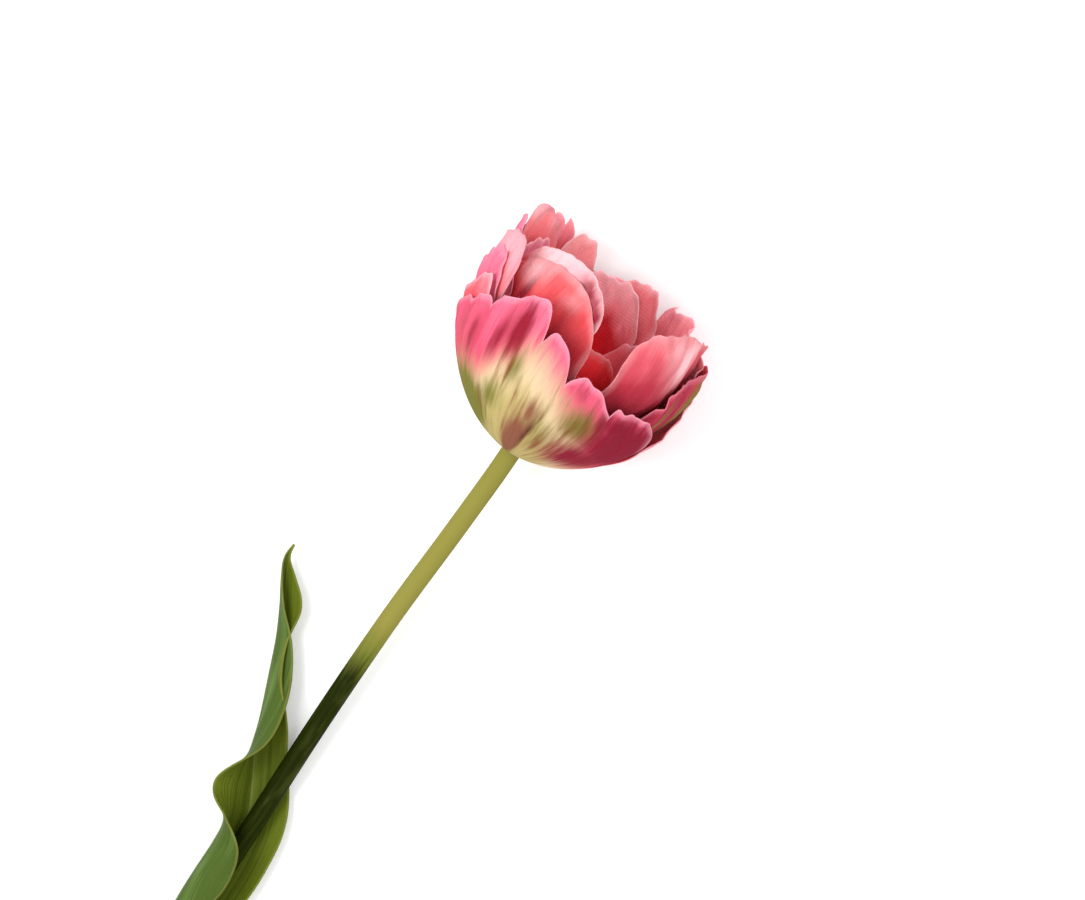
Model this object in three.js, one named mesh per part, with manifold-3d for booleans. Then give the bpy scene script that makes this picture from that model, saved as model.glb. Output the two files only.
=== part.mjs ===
// A cut double tulip with fringed petals, lying on its side: a stem with its receptacle, one clasping
// leaf, and a bloom of separate petals nested round a heart of pistil and stamens.
// Millimetres, +Z up. The stem runs along +Y towards the bloom, and the flower lies on z = 0.
import * as THREE from "three";
import { mergeVertices } from "three/addons/utils/BufferGeometryUtils.js";
import Module from "manifold-3d";

const wasm = await Module();
wasm.setup();

const rad = THREE.MathUtils.degToRad;
const clamp = THREE.MathUtils.clamp;

// ---- Driving dimensions ------------------------------------------------------------------------

const STEM_RADIUS = 3.45;
const STEM_SIDES = 14;
const STEM_STEPS = 30;
const PETAL_THICKNESS = 0.7;
const LEAF_THICKNESS = 0.8;
const SEAT_GAP = 0.3; // clearance between pieces that touch

// The stem's centre line, from its cut end to the base of the bloom.
const STEM_LINE = [
  [-0.5, -232, 3.6],
  [-1, -205, 4.9],
  [-1.6, -160, 7.2],
  [-2.6, -112, 9.9],
  [-2.4, -69, 12.6],
  [-1, -35, 16.2],
  [-0.1, -10, 20.9],
  [0, 2.5, 23.7],
].map((p) => new THREE.Vector3(...p));

// The bloom's own frame: its foot is the end of the stem, and its axis, which is the frame's Y, leans up
// from the stem so that the mouth opens forwards and upwards.
const BLOOM_LIFT = rad(20);
const BLOOM_BASE = STEM_LINE[STEM_LINE.length - 1];
const BLOOM = new THREE.Matrix4().makeRotationX(BLOOM_LIFT).setPosition(BLOOM_BASE);

// The receptacle, as radius at height along the bloom's axis.
const RECEPTACLE_RADIUS = 6;
const RECEPTACLE_TOP = 10.8;
const RECEPTACLE = [
  [0, -3.6],
  [3.2, -3.6],
  [4.8, -1.2],
  [RECEPTACLE_RADIUS, 0],
  [RECEPTACLE_RADIUS, 8.3],
  [5.5, 9.8],
  [4.4, RECEPTACLE_TOP],
  [0, RECEPTACLE_TOP],
];

// A point of the bloom, from its radius, its turn from the side that faces up, its height along the axis
// and a distance sideways.
function bloomPoint(radius, turn, height, sideways = 0) {
  const right = radius * Math.sin(turn) + sideways * Math.cos(turn);
  const front = radius * Math.cos(turn) - sideways * Math.sin(turn);
  return new THREE.Vector3(right, height, front).applyMatrix4(BLOOM);
}

// A smooth curve through evenly spaced values, read at a share from 0 to 1.
function along(values, share) {
  const last = values.length - 1;
  const x = clamp(share, 0, 1) * last;
  const i = Math.min(Math.floor(x), last - 1);
  const t = x - i;
  const [a, b, c, d] = [-1, 0, 1, 2].map((step) => values[clamp(i + step, 0, last)]);
  return b + 0.5 * t * (c - a + t * (2 * a - 5 * b + 4 * c - d + t * (3 * (b - c) + d - a)));
}

// ---- Petals ------------------------------------------------------------------------------------

// The outline of a petal's top edge: its length as a share, at even steps from left margin to right.
const ROUND = [0.7, 0.95, 1, 0.95, 0.7];
const BROAD = [0.78, 0.97, 1, 0.97, 0.78];
const HOODED = [0.66, 0.86, 1, 1.02, 0.88];
const RIMMED = [0.66, 0.88, 1.01, 1.04, 0.94];

// What a petal is like where its own entry below doesn't say:
//   root    half the width of its root in mm, and taper: how narrow it stays above it
//   crown   its top edge, as above
//   notches where its top edge is cut, from -1 at the left margin to 1 at the right
//   cut     how deep it is cut there, one depth or one for each notch
//   open    how flat it is across: 1 follows the cup, more is flatter
//   slip    how far its right margin stands out and its left margin in, in mm
//   pleat   height of the folds that run down from the lobes, in mm
const PLAIN = { root: 2.2, taper: 1.8, crown: ROUND, notches: [], cut: 1.5, open: 1.1, slip: 0, pleat: 0.6 };

// The petals by whorl, from the heart outwards. A petal has a turn in degrees round the axis, 0 facing up
// and 90 to the right, a length and a width in mm, and its midline's lean away from the axis in degrees, at
// even steps above the root.
const WHORLS = [
  {
    petal_heart_front: {
      turn: 18, length: 43, width: 28, lean: [21, 12, 2, -20],
      crown: [0.7, 0.95, 1, 0.98, 0.88], pleat: 0,
    },
    petal_inner_right: {
      turn: 69, length: 73, width: 61, lean: [46, 34, 4, -10],
      taper: 2.5, crown: [0.98, 1.05, 1.03, 0.95, 0.85], notches: [0.1], cut: 2, open: 1, slip: -3,
    },
  },
  {
    petal_right_back: {
      turn: 134, length: 48, width: 34, lean: [45, 31, 10, 2],
      notches: [-0.4, 0, 0.4], pleat: 0.8,
    },
    petal_rim: {
      turn: -52, length: 74, width: 60, lean: [42, 21, 2, -20],
      taper: 3.5, crown: RIMMED, open: 1, pleat: 0,
    },
  },
  {
    petal_heart_back: {
      turn: 189, length: 60, width: 36, lean: [38, 20, 8, 4],
      crown: [0.86, 1, 1.01, 0.97, 0.7], pleat: 0,
    },
    petal_hood: {
      turn: -49, length: 71, width: 63, lean: [44, 23, 2, -22],
      taper: 3.5, crown: HOODED, open: 1, pleat: 0,
    },
    petal_left_tip: {
      turn: -112, length: 63, width: 32, lean: [39, 23, 8, 6],
      taper: 3, notches: [0.3], cut: 2, open: 1.2,
    },
  },
  {
    petal_back_thin: {
      turn: 177, length: 68, width: 34, lean: [42, 20, 7, 4],
      root: 1.8, crown: [0.9, 1, 0.97, 0.9, 0.7], pleat: 0,
    },
    petal_back_round: {
      turn: -149, length: 72, width: 23, lean: [44, 22, 9, 6],
      root: 1.2, open: 1.2, pleat: 0,
    },
    petal_peak: {
      turn: -124, length: 80, width: 34, lean: [44, 22, 7, 6],
      root: 1.3, crown: [0.5, 0.8, 0.96, 0.97, 0.75], notches: [-0.3], open: 1.2,
    },
    petal_under_left: {
      turn: -98, length: 78, width: 56, lean: [44, 22, 10, 4],
      root: 1.4, taper: 2.5, crown: [0.5, 0.8, 0.94, 1.02, 0.86], notches: [-0.4, 0.1], cut: 2.5,
      open: 1,
    },
    petal_left_pale: {
      turn: -72, length: 77, width: 33, lean: [47, 31, 11, -4],
      root: 1.3, taper: 3.5, crown: [0.7, 0.92, 1, 1.04, 1], open: 1.2,
    },
  },
  {
    petal_right_outer: {
      turn: 118, length: 69, width: 48, lean: [44, 29, 9, -4],
      taper: 3, crown: [0.7, 0.95, 1, 1.04, 1.04], notches: [0.25, 0.7], cut: 2, pleat: 0.8,
    },
    petal_left_middle: {
      turn: -74, length: 68, width: 31, lean: [50, 33, 15, -2],
      taper: 3.5, crown: [0.7, 0.9, 1.01, 1.06, 0.97],
    },
  },
  {
    petal_peak_crinkled: {
      turn: -136, length: 81, width: 32, lean: [50, 22, 8, 6],
      notches: [-0.5, -0.1, 0.3], cut: 3, pleat: 1,
    },
    petal_left_low: {
      turn: -69, length: 63, width: 39, lean: [53, 37, 20, 2],
      taper: 3.5, crown: [0.7, 0.85, 0.99, 1.06, 0.8], notches: [-0.1], cut: 1,
    },
    petal_right_flame: {
      turn: 95, length: 69, width: 60, lean: [47, 28, 10, -12],
      root: 2.8, taper: 2.5, crown: BROAD, notches: [-0.36, 0.3], cut: 2.5, open: 1, pleat: 0.8,
    },
  },
  {
    petal_under_right: {
      turn: 131, length: 66, width: 56, lean: [48, 25, 9, -2],
      root: 2.5, taper: 1.15, crown: BROAD, notches: [-0.5, 0, 0.5], cut: 2.5,
    },
    petal_under_middle: {
      turn: 188, length: 68, width: 54, lean: [54, 22, 18, 18],
      root: 2.5, taper: 1.15, notches: [-0.5, 0, 0.5], cut: 2.5, open: 2.2, pleat: 0.4,
    },
    petal_front: {
      turn: -18, length: 86, width: 110, lean: [49, 28, 13, 0],
      root: 6.4, taper: 1.15,
      crown: [0.42, 0.54, 0.71, 0.78, 0.84, 0.925, 0.975, 0.88, 0.82, 0.77, 0.735, 0.73, 0.7],
      notches: [-0.55, -0.37, -0.2, 0.06, 0.3, 0.63, 0.79], cut: [3.5, 4, 1, 12, 10, 6, 1.5], open: 1,
      slip: -1.5, pleat: 0.5,
    },
  },
];
const ROOT_RADIUS = RECEPTACLE_RADIUS + SEAT_GAP + 0.1;
const ROOT_STEP = 1.25; // height between one whorl of petals and the next
const ROOT_LEAN = [30, 72]; // degrees, of a petal's midline at its root, in the first whorl and in the last
const FULL_WIDTH_AT = 0.62; // share of the length at which a petal is at its widest
const PETALS = WHORLS.flatMap((whorl, step) =>
  Object.entries(whorl).map(([name, petal]) => ({
    ...PLAIN,
    ...petal,
    name,
    lean: [THREE.MathUtils.lerp(...ROOT_LEAN, step / (WHORLS.length - 1)), ...petal.lean],
    rootHeight: (WHORLS.length - 1 - step) * ROOT_STEP,
  })),
);

// The petal's midline as radius and height, by the share of its length and on to a little past its tip.
const LINE_STEPS = 80;
const PAST_TIP = 1.25;
function midline(petal) {
  const step = (petal.length * PAST_TIP) / LINE_STEPS;
  const line = [new THREE.Vector2(ROOT_RADIUS, petal.rootHeight)];
  for (let i = 0; i < LINE_STEPS; i++) {
    const lean = rad(along(petal.lean, ((i + 0.5) * PAST_TIP) / LINE_STEPS));
    line.push(line[i].clone().add(new THREE.Vector2(Math.sin(lean), Math.cos(lean)).multiplyScalar(step)));
  }
  return (share) => {
    const x = clamp(share / PAST_TIP, 0, 1) * LINE_STEPS;
    const i = Math.min(Math.floor(x), LINE_STEPS - 1);
    return line[i].clone().lerp(line[i + 1], x - i);
  };
}

// The lobe that u lies in, counted from the left, and how far u is across it, from 0 to 1.
const PAST_MARGIN = 1.2;
function lobeAt(petal, u) {
  const edges = [-PAST_MARGIN, ...petal.notches, PAST_MARGIN];
  const lobe = edges.findIndex((edge, k) => u <= edges[k + 1]);
  return { lobe, across: (u - edges[lobe]) / (edges[lobe + 1] - edges[lobe]) };
}

// The petal's length at u across it, from -1 at its left margin to 1 at its right.
function lengthAt(petal, u) {
  const length = petal.length * along(petal.crown, (u + 1) / 2);
  if (!petal.notches.length) return length;
  const { lobe, across } = lobeAt(petal, u);
  const nearest = clamp(across < 0.5 ? lobe - 1 : lobe, 0, petal.notches.length - 1);
  return length - (petal.cut[nearest] ?? petal.cut) * Math.abs(2 * across - 1) ** 3;
}

function petalPoint(petal, line, u, v) {
  const share = (v * lengthAt(petal, u)) / petal.length;
  const { x: radius, y: height } = line(share);
  const widen = Math.sin((Math.PI / 2) * Math.min(1, share / FULL_WIDTH_AT)) ** petal.taper;
  const half = petal.root + (petal.width / 2 - petal.root) * widen;
  const bend = petal.open * radius;
  const angle = (u * half) / bend;
  const lean = rad(along(petal.lean, share));
  const fold = -petal.pleat * Math.cos(2 * Math.PI * lobeAt(petal, u).across) * share ** 2;
  const out = fold + petal.slip * u * Math.min(1, share * 2);
  return bloomPoint(
    radius - bend * (1 - Math.cos(angle)) + out * Math.cos(lean),
    rad(petal.turn),
    height - out * Math.sin(lean),
    bend * Math.sin(angle),
  );
}

// The places across a petal where its grid has a line: on every notch, and evenly between notches.
const COLUMN_WIDTH = 4.5;
const LOBE_COLUMNS = 3; // at least
function linesAcross(petal) {
  const edges = [-1, ...petal.notches, 1];
  const places = [-1];
  for (let k = 0; k + 1 < edges.length; k++) {
    const span = edges[k + 1] - edges[k];
    const columns = Math.max(LOBE_COLUMNS, Math.round((span / 2) * (petal.width / COLUMN_WIDTH)));
    for (let n = 1; n <= columns; n++) places.push(edges[k] + (span * n) / columns);
  }
  return places;
}

const PETAL_ROWS = 9;
const ROW_CROWDING = 1.15; // above 1, the rows stand closer together towards the root
function petalGrid(petal) {
  const line = midline(petal);
  const across = linesAcross(petal);
  const up = Array.from({ length: PETAL_ROWS + 1 }, (_, row) => (row / PETAL_ROWS) ** ROW_CROWDING);
  return up.map((v) => across.map((u) => petalPoint(petal, line, u, v)));
}

// ---- Nesting the petals ------------------------------------------------------------------------

// Each petal is laid over those inside it. Seen from the core of the bloom, it is moved out until it clears
// what is already there, both at its own points and where points of the inner petals would come through.
const CORE = bloomPoint(0, 0, 36);
const CLEARANCE = PETAL_THICKNESS + 0.25;
const LEAST_FACING = 0.5; // limits the clearance where a face is seen edge on
const ROOTED_ROWS = 1.4; // the rows over which the lift grows from nothing at the root
const hit = new THREE.Vector3();

function sight(point) {
  const way = point.clone().sub(CORE);
  const far = way.length();
  return { far, ray: new THREE.Ray(CORE, way.normalize()) };
}

function layer(ray, face) {
  return CLEARANCE / Math.max(LEAST_FACING, Math.abs(face.normal.dot(ray.direction)));
}

function gridFaces(grid) {
  const faces = [];
  for (let i = 0; i + 1 < grid.length; i++)
    for (let j = 0; j + 1 < grid[0].length; j++)
      for (const middle of [
        [i, j + 1],
        [i + 1, j],
      ]) {
        const corners = [[i, j], middle, [i + 1, j + 1]];
        const points = corners.map(([row, column]) => grid[row][column]);
        const normal = new THREE.Triangle(...points).getNormal(new THREE.Vector3());
        faces.push({ corners, points, normal });
      }
  return faces;
}

// A field in which each place has what gather makes of it and its neighbours.
function gathered(field, gather) {
  const near = (list, k) => list.slice(Math.max(k - 1, 0), k + 2);
  return field.map((line, i) => line.map((_, j) => gather(near(field, i).flatMap((row) => near(row, j)))));
}

function liftGrid(grid, laid) {
  const lift = grid.map((line) => line.map(() => 0));
  const raise = (corners, need) => {
    for (const [i, j] of corners) lift[i][j] = Math.max(lift[i][j], need);
  };
  const faces = gridFaces(grid);
  for (const face of faces)
    for (const [i, j] of face.corners) {
      const { far, ray } = sight(grid[i][j]);
      const gap = layer(ray, face);
      for (const under of laid)
        if (ray.intersectTriangle(...under.points, false, hit))
          raise([[i, j]], hit.distanceTo(CORE) + gap - far);
    }
  for (const under of laid)
    for (const point of under.points) {
      const { far, ray } = sight(point);
      for (const face of faces)
        if (ray.intersectTriangle(...face.points, false, hit))
          raise(face.corners, far + layer(ray, face) - hit.distanceTo(CORE));
    }
  const widest = gathered(lift, (near) => Math.max(...near));
  const smooth = gathered(widest, (near) => near.reduce((sum, x) => sum + x, 0) / near.length);
  grid.forEach((line, i) => {
    const rooted = clamp(i / ROOTED_ROWS, 0, 1);
    line.forEach((point, j) => point.addScaledVector(sight(point).ray.direction, rooted * smooth[i][j]));
  });
}

function nest(grids) {
  const laid = [];
  for (const grid of grids) {
    liftGrid(grid, laid);
    laid.push(...gridFaces(grid));
  }
}

// Presses flat against the surface what would sink below it: the petal that the bloom lies on, and any other
// petal a layer above that one.
const LOWEST = "petal_under_middle";
function press(grid, name) {
  const level = PETAL_THICKNESS / 2 + (name === LOWEST ? 0 : CLEARANCE);
  for (const point of grid.flat()) point.z = Math.max(point.z, level);
}

// ---- Solids ------------------------------------------------------------------------------------

function solid(positions, index) {
  const geometry = new THREE.BufferGeometry();
  geometry.setAttribute("position", new THREE.Float32BufferAttribute(positions, 3));
  geometry.setIndex(index);
  geometry.computeVertexNormals();
  return geometry;
}

// A closed sheet of even thickness round a grid of points, cut alike on both faces.
function sheet(grid, thickness) {
  const rows = grid.length;
  const columns = grid[0].length;
  const at = (i, j) => grid[clamp(i, 0, rows - 1)][clamp(j, 0, columns - 1)];
  const normal = (i, j) => {
    const across = at(i, j + 1).clone().sub(at(i, j - 1));
    const up = at(i + 1, j).clone().sub(at(i - 1, j));
    return across.cross(up).normalize();
  };
  const positions = [];
  for (const side of [0.5, -0.5])
    for (let i = 0; i < rows; i++)
      for (let j = 0; j < columns; j++)
        positions.push(...at(i, j).clone().addScaledVector(normal(i, j), side * thickness));

  const front = (i, j) => i * columns + j;
  const back = (i, j) => rows * columns + front(i, j);
  const index = [];
  for (let i = 0; i + 1 < rows; i++)
    for (let j = 0; j + 1 < columns; j++) {
      index.push(front(i, j), front(i, j + 1), front(i + 1, j + 1));
      index.push(front(i, j), front(i + 1, j + 1), front(i + 1, j));
      index.push(back(i, j), back(i + 1, j + 1), back(i, j + 1));
      index.push(back(i, j), back(i + 1, j), back(i + 1, j + 1));
    }
  const rim = [];
  for (let j = 0; j < columns - 1; j++) rim.push([0, j]);
  for (let i = 0; i < rows - 1; i++) rim.push([i, columns - 1]);
  for (let j = columns - 1; j > 0; j--) rim.push([rows - 1, j]);
  for (let i = rows - 1; i > 0; i--) rim.push([i, 0]);
  rim.forEach((here, k) => {
    const next = rim[(k + 1) % rim.length];
    index.push(front(...here), back(...here), front(...next));
    index.push(front(...next), back(...here), back(...next));
  });
  return solid(positions, index);
}

// A solid turned round its own Y axis, from radius at height.
function turned(outline, sides) {
  const points = outline.map(([radius, height]) => new THREE.Vector2(radius, height));
  return new THREE.LatheGeometry(points, sides);
}

// Joins closed geometries to one body.
const WELD = 1e-3;
function joined(geometries) {
  const bodies = geometries.map((geometry) => {
    geometry.deleteAttribute("normal");
    geometry.deleteAttribute("uv");
    const welded = mergeVertices(geometry, WELD);
    const index = [];
    for (let k = 0; k < welded.index.count; k += 3) {
      const corners = [k, k + 1, k + 2].map((n) => welded.index.getX(n));
      if (new Set(corners).size === 3) index.push(...corners);
    }
    return new wasm.Manifold({
      numProp: 3,
      vertProperties: new Float32Array(welded.attributes.position.array),
      triVerts: new Uint32Array(index),
    });
  });
  const mesh = wasm.Manifold.union(bodies).getMesh();
  return solid([...mesh.vertProperties], [...mesh.triVerts]);
}

// ---- Stem --------------------------------------------------------------------------------------

function stem() {
  const section = new THREE.Shape().absarc(0, 0, STEM_RADIUS, 0, 2 * Math.PI);
  const stalk = new THREE.ExtrudeGeometry(section, {
    extrudePath: new THREE.CatmullRomCurve3(STEM_LINE),
    steps: STEM_STEPS,
    curveSegments: STEM_SIDES,
  });
  return joined([stalk, turned(RECEPTACLE, STEM_SIDES).applyMatrix4(BLOOM)]);
}

// ---- Leaf --------------------------------------------------------------------------------------

// The leaf from its sheath to its tip. rib is the place of its midrib. Each wing has a width, the angle at
// which it leaves the midrib above level, and how far it curls over on its way to the margin.
const LEAF = [
  { rib: [-0.95, -210, 0.4], left: [9.5, 0, 130], right: [7, 0, 95] },
  { rib: [-1.1, -200, 0.4], left: [15, 0, 165], right: [8.5, 0, 85] },
  { rib: [-1.2, -188, 0.4], left: [25, 0, 185], right: [11, 4, 60] },
  { rib: [-0.8, -175, 0.4], left: [31, 4, 190], right: [13, 8, 40] },
  { rib: [-2, -162, 0.4], left: [28, 12, 164], right: [13.5, 12, 24] },
  { rib: [-4.8, -151, 0.4], left: [22, 40, 60], right: [14, 14, 14] },
  { rib: [-10.5, -140, 0.4], left: [19, 62, -20], right: [13, 13, 4] },
  { rib: [-16.5, -129, 0.4], left: [17, 72, 60], right: [11.5, 18, 4] },
  { rib: [-21.2, -118, 0.4], left: [15, 92, 60], right: [13, 44, 10] },
  { rib: [-25.8, -107, 0.6], left: [13, 100, 60], right: [11, 55, 20] },
  { rib: [-30.4, -96, 1.2], left: [10, 105, 40], right: [9, 52, 20] },
  { rib: [-35.4, -86, 2.4], left: [7.5, 92, 20], right: [9.5, 34, 10] },
  { rib: [-40.4, -77.5, 3.4], left: [4.5, 88, 10], right: [6, 30, 10] },
  { rib: [-43, -71, 4.6], left: [1.8, 80, 0], right: [2, 40, 0] },
  { rib: [-43.1, -66.2, 5.8], left: [0.5, 80, 0], right: [0.5, 40, 0] },
];
const LEAF_ROWS = 34;
const WING_COLUMNS = 6;
const STEPS_A_COLUMN = 4;

// Points of one wing, from beside the midrib to its margin.
function wing(rib, side, [width, rise, curl]) {
  const steps = WING_COLUMNS * STEPS_A_COLUMN;
  const at = rib.clone();
  const points = [];
  for (let i = 0; i < steps; i++) {
    const angle = rad(rise + (curl * (i + 0.5)) / steps);
    at.addScaledVector(side, (Math.cos(angle) * width) / steps);
    at.z += (Math.sin(angle) * width) / steps;
    if ((i + 1) % STEPS_A_COLUMN === 0) points.push(at.clone());
  }
  return points;
}

function leafGrid() {
  const readAt = (name, share) => [0, 1, 2].map((k) => along(LEAF.map((station) => station[name][k]), share));
  const ribAt = (share) => new THREE.Vector3(...readAt("rib", share));
  const nearby = 0.01;
  const grid = [];
  for (let i = 0; i <= LEAF_ROWS; i++) {
    const share = i / LEAF_ROWS;
    const rib = ribAt(share);
    const run = ribAt(share + nearby).sub(ribAt(share - nearby)).setZ(0).normalize();
    const right = new THREE.Vector3(run.y, -run.x, 0);
    const leftWing = wing(rib, right.clone().negate(), readAt("left", share));
    grid.push([...leftWing.reverse(), rib, ...wing(rib, right, readAt("right", share))]);
  }
  return grid;
}

// ---- Heart -------------------------------------------------------------------------------------

// The pistil and a stamen, as radius at height. The pistil is three-lobed, more deeply towards its top.
const PISTIL = [
  [0, 0],
  [3.4, 0],
  [3.2, 1.6],
  [2.4, 3],
  [2.7, 10],
  [2.1, 16],
  [2.6, 17.5],
  [3.4, 19],
  [2.4, 20.4],
  [0, 20.4],
];
const PISTIL_SIDES = 12;
const PISTIL_LOBES = 3;
const LOBE_DEPTH = 0.02; // as a share of the radius, for each mm of height
const STAMEN = [
  [0, 0],
  [0.75, 0],
  [0.6, 5],
  [0.5, 8.8],
  [1.1, 9.5],
  [1.35, 11.2],
  [1.2, 15.6],
  [0.6, 17],
  [0, 17],
];
const STAMEN_SIDES = 6;
const STAMENS = 6;
const STAMEN_LEAN = rad(12);
const STAMEN_FOOT = { radius: 2.6, height: 0.8 };

function pistil() {
  const geometry = turned(PISTIL, PISTIL_SIDES);
  const places = geometry.attributes.position;
  for (let k = 0; k < places.count; k++) {
    const turn = Math.atan2(places.getX(k), places.getZ(k));
    const swell = 1 + LOBE_DEPTH * places.getY(k) * Math.cos(PISTIL_LOBES * turn);
    places.setXYZ(k, places.getX(k) * swell, places.getY(k), places.getZ(k) * swell);
  }
  return geometry;
}

function heart() {
  const stamens = Array.from({ length: STAMENS }, (_, k) =>
    turned(STAMEN, STAMEN_SIDES)
      .rotateX(STAMEN_LEAN)
      .translate(0, STAMEN_FOOT.height, STAMEN_FOOT.radius)
      .rotateY((2 * Math.PI * (k + 0.5)) / STAMENS),
  );
  return joined([pistil(), ...stamens]).translate(0, RECEPTACLE_TOP + SEAT_GAP, 0).applyMatrix4(BLOOM);
}

// ---- The flower --------------------------------------------------------------------------------

const petalMaterial = new THREE.MeshStandardMaterial({ name: "petal", color: 0xe8587a, roughness: 0.65 });
const stemMaterial = new THREE.MeshStandardMaterial({ name: "stem", color: 0x9aa04a, roughness: 0.5 });
const leafMaterial = new THREE.MeshStandardMaterial({ name: "leaf", color: 0x5f7a3a, roughness: 0.5 });
const heartMaterial = new THREE.MeshStandardMaterial({ name: "heart", color: 0xc9c070, roughness: 0.6 });

const flower = new THREE.Group();
function add(name, geometry, material) {
  const mesh = new THREE.Mesh(geometry, material);
  mesh.name = name;
  flower.add(mesh);
}

add("stem", stem(), stemMaterial);
add("leaf", sheet(leafGrid(), LEAF_THICKNESS), leafMaterial);
add("heart", heart(), heartMaterial);
const grids = PETALS.map(petalGrid);
nest(grids);
grids.forEach((grid, i) => press(grid, PETALS[i].name));
PETALS.forEach((petal, i) => add(petal.name, sheet(grids[i], PETAL_THICKNESS), petalMaterial));

// The origin goes to the middle of the flower's footprint, on the surface it lies on.
const box = new THREE.Box3().setFromObject(flower);
const middle = box.getCenter(new THREE.Vector3());
flower.position.set(-middle.x, -middle.y, -box.min.z);

export default flower;
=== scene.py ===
"""A cut double tulip that lies on its side: a stem, a clasping leaf, a heart and twenty nested petals.

Lengths in the tables are millimetres, and the scene is in metres. The flower is drawn lying along +Y, with
the base of its bloom about over the drawing's origin. DRAWING_ORIGIN carries it to the part's place.
"""

import math

import bpy
import numpy as np
from mathutils import Matrix, Vector
from mathutils.bvhtree import BVHTree


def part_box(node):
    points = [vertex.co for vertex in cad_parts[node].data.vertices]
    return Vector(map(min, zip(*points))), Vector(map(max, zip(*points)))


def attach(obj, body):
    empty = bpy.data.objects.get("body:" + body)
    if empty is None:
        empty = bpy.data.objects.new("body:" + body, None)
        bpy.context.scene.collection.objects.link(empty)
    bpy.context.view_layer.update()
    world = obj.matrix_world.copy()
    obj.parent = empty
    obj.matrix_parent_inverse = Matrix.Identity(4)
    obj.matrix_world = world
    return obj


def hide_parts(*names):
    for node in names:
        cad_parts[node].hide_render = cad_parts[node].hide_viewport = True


bl_info = {
    "name": "Double tulip",
    "version": (1, 0, 0),
    "blender": (4, 5, 0),
    "location": "View3D > Sidebar > Tulip",
    "description": "Builds a cut double tulip with its leaf round the packed frame",
    "category": "Object",
}

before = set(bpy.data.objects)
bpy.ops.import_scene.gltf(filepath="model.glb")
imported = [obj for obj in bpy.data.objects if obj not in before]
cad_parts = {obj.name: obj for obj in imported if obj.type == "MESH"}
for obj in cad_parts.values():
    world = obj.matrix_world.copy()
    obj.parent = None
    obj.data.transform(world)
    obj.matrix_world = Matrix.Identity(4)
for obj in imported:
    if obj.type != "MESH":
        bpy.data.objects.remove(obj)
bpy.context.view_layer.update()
MM = 0.001


def linear(colour):
    """A hex colour as linear red, green and blue."""
    parts = [int(colour[k : k + 2], 16) / 255 for k in (1, 3, 5)]
    return tuple(x / 12.92 if x <= 0.04045 else ((x + 0.055) / 1.055) ** 2.4 for x in parts)


# ---- The drawing's dimensions, in mm and degrees ------------------------------------------------

STEM_RADIUS = 3.45
SHEET = {"petal": 0.7, "leaf": 0.8}  # thickness of the solids that the finer pieces stand for
SEAT_GAP = 0.3  # between a solid and what it is seated on

# The stem's centre line, from its cut end to the base of the bloom.
STEM_LINE = [
    (-0.5, -232, 3.6),
    (-1, -205, 4.9),
    (-1.6, -160, 7.2),
    (-2.6, -112, 9.9),
    (-2.4, -69, 12.6),
    (-1, -35, 16.2),
    (-0.1, -10, 20.9),
    (0, 2.5, 23.7),
]
BLOOM_LIFT = math.radians(20)  # of the bloom's axis above the surface
BLOOM_BASE = np.array(STEM_LINE[-1])
RECEPTACLE_RADIUS = 6
RECEPTACLE_TOP = 10.8

# The outline of a petal's top edge: its length as a share, at even steps from left margin to right.
ROUND = [0.7, 0.95, 1, 0.95, 0.7]
BROAD = [0.78, 0.97, 1, 0.97, 0.78]
HOODED = [0.66, 0.86, 1, 1.02, 0.88]
RIMMED = [0.66, 0.88, 1.01, 1.04, 0.94]

# What a petal is like where its own entry doesn't say:
#   root    half the width of its root, and taper: how narrow it stays above it
#   crown   its top edge, as above
#   notches where its top edge is cut, from -1 at the left margin to 1 at the right
#   cut     how deep it is cut there, one depth or one for each notch
#   open    how flat it is across: 1 follows the cup, more is flatter
#   slip    how far its right margin stands out and its left margin in
#   pleat   height of the folds that run down from the lobes
PLAIN = {
    "root": 2.2, "taper": 1.8, "crown": ROUND, "notches": [],
    "cut": 1.5, "open": 1.1, "slip": 0, "pleat": 0.6,
}

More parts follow.
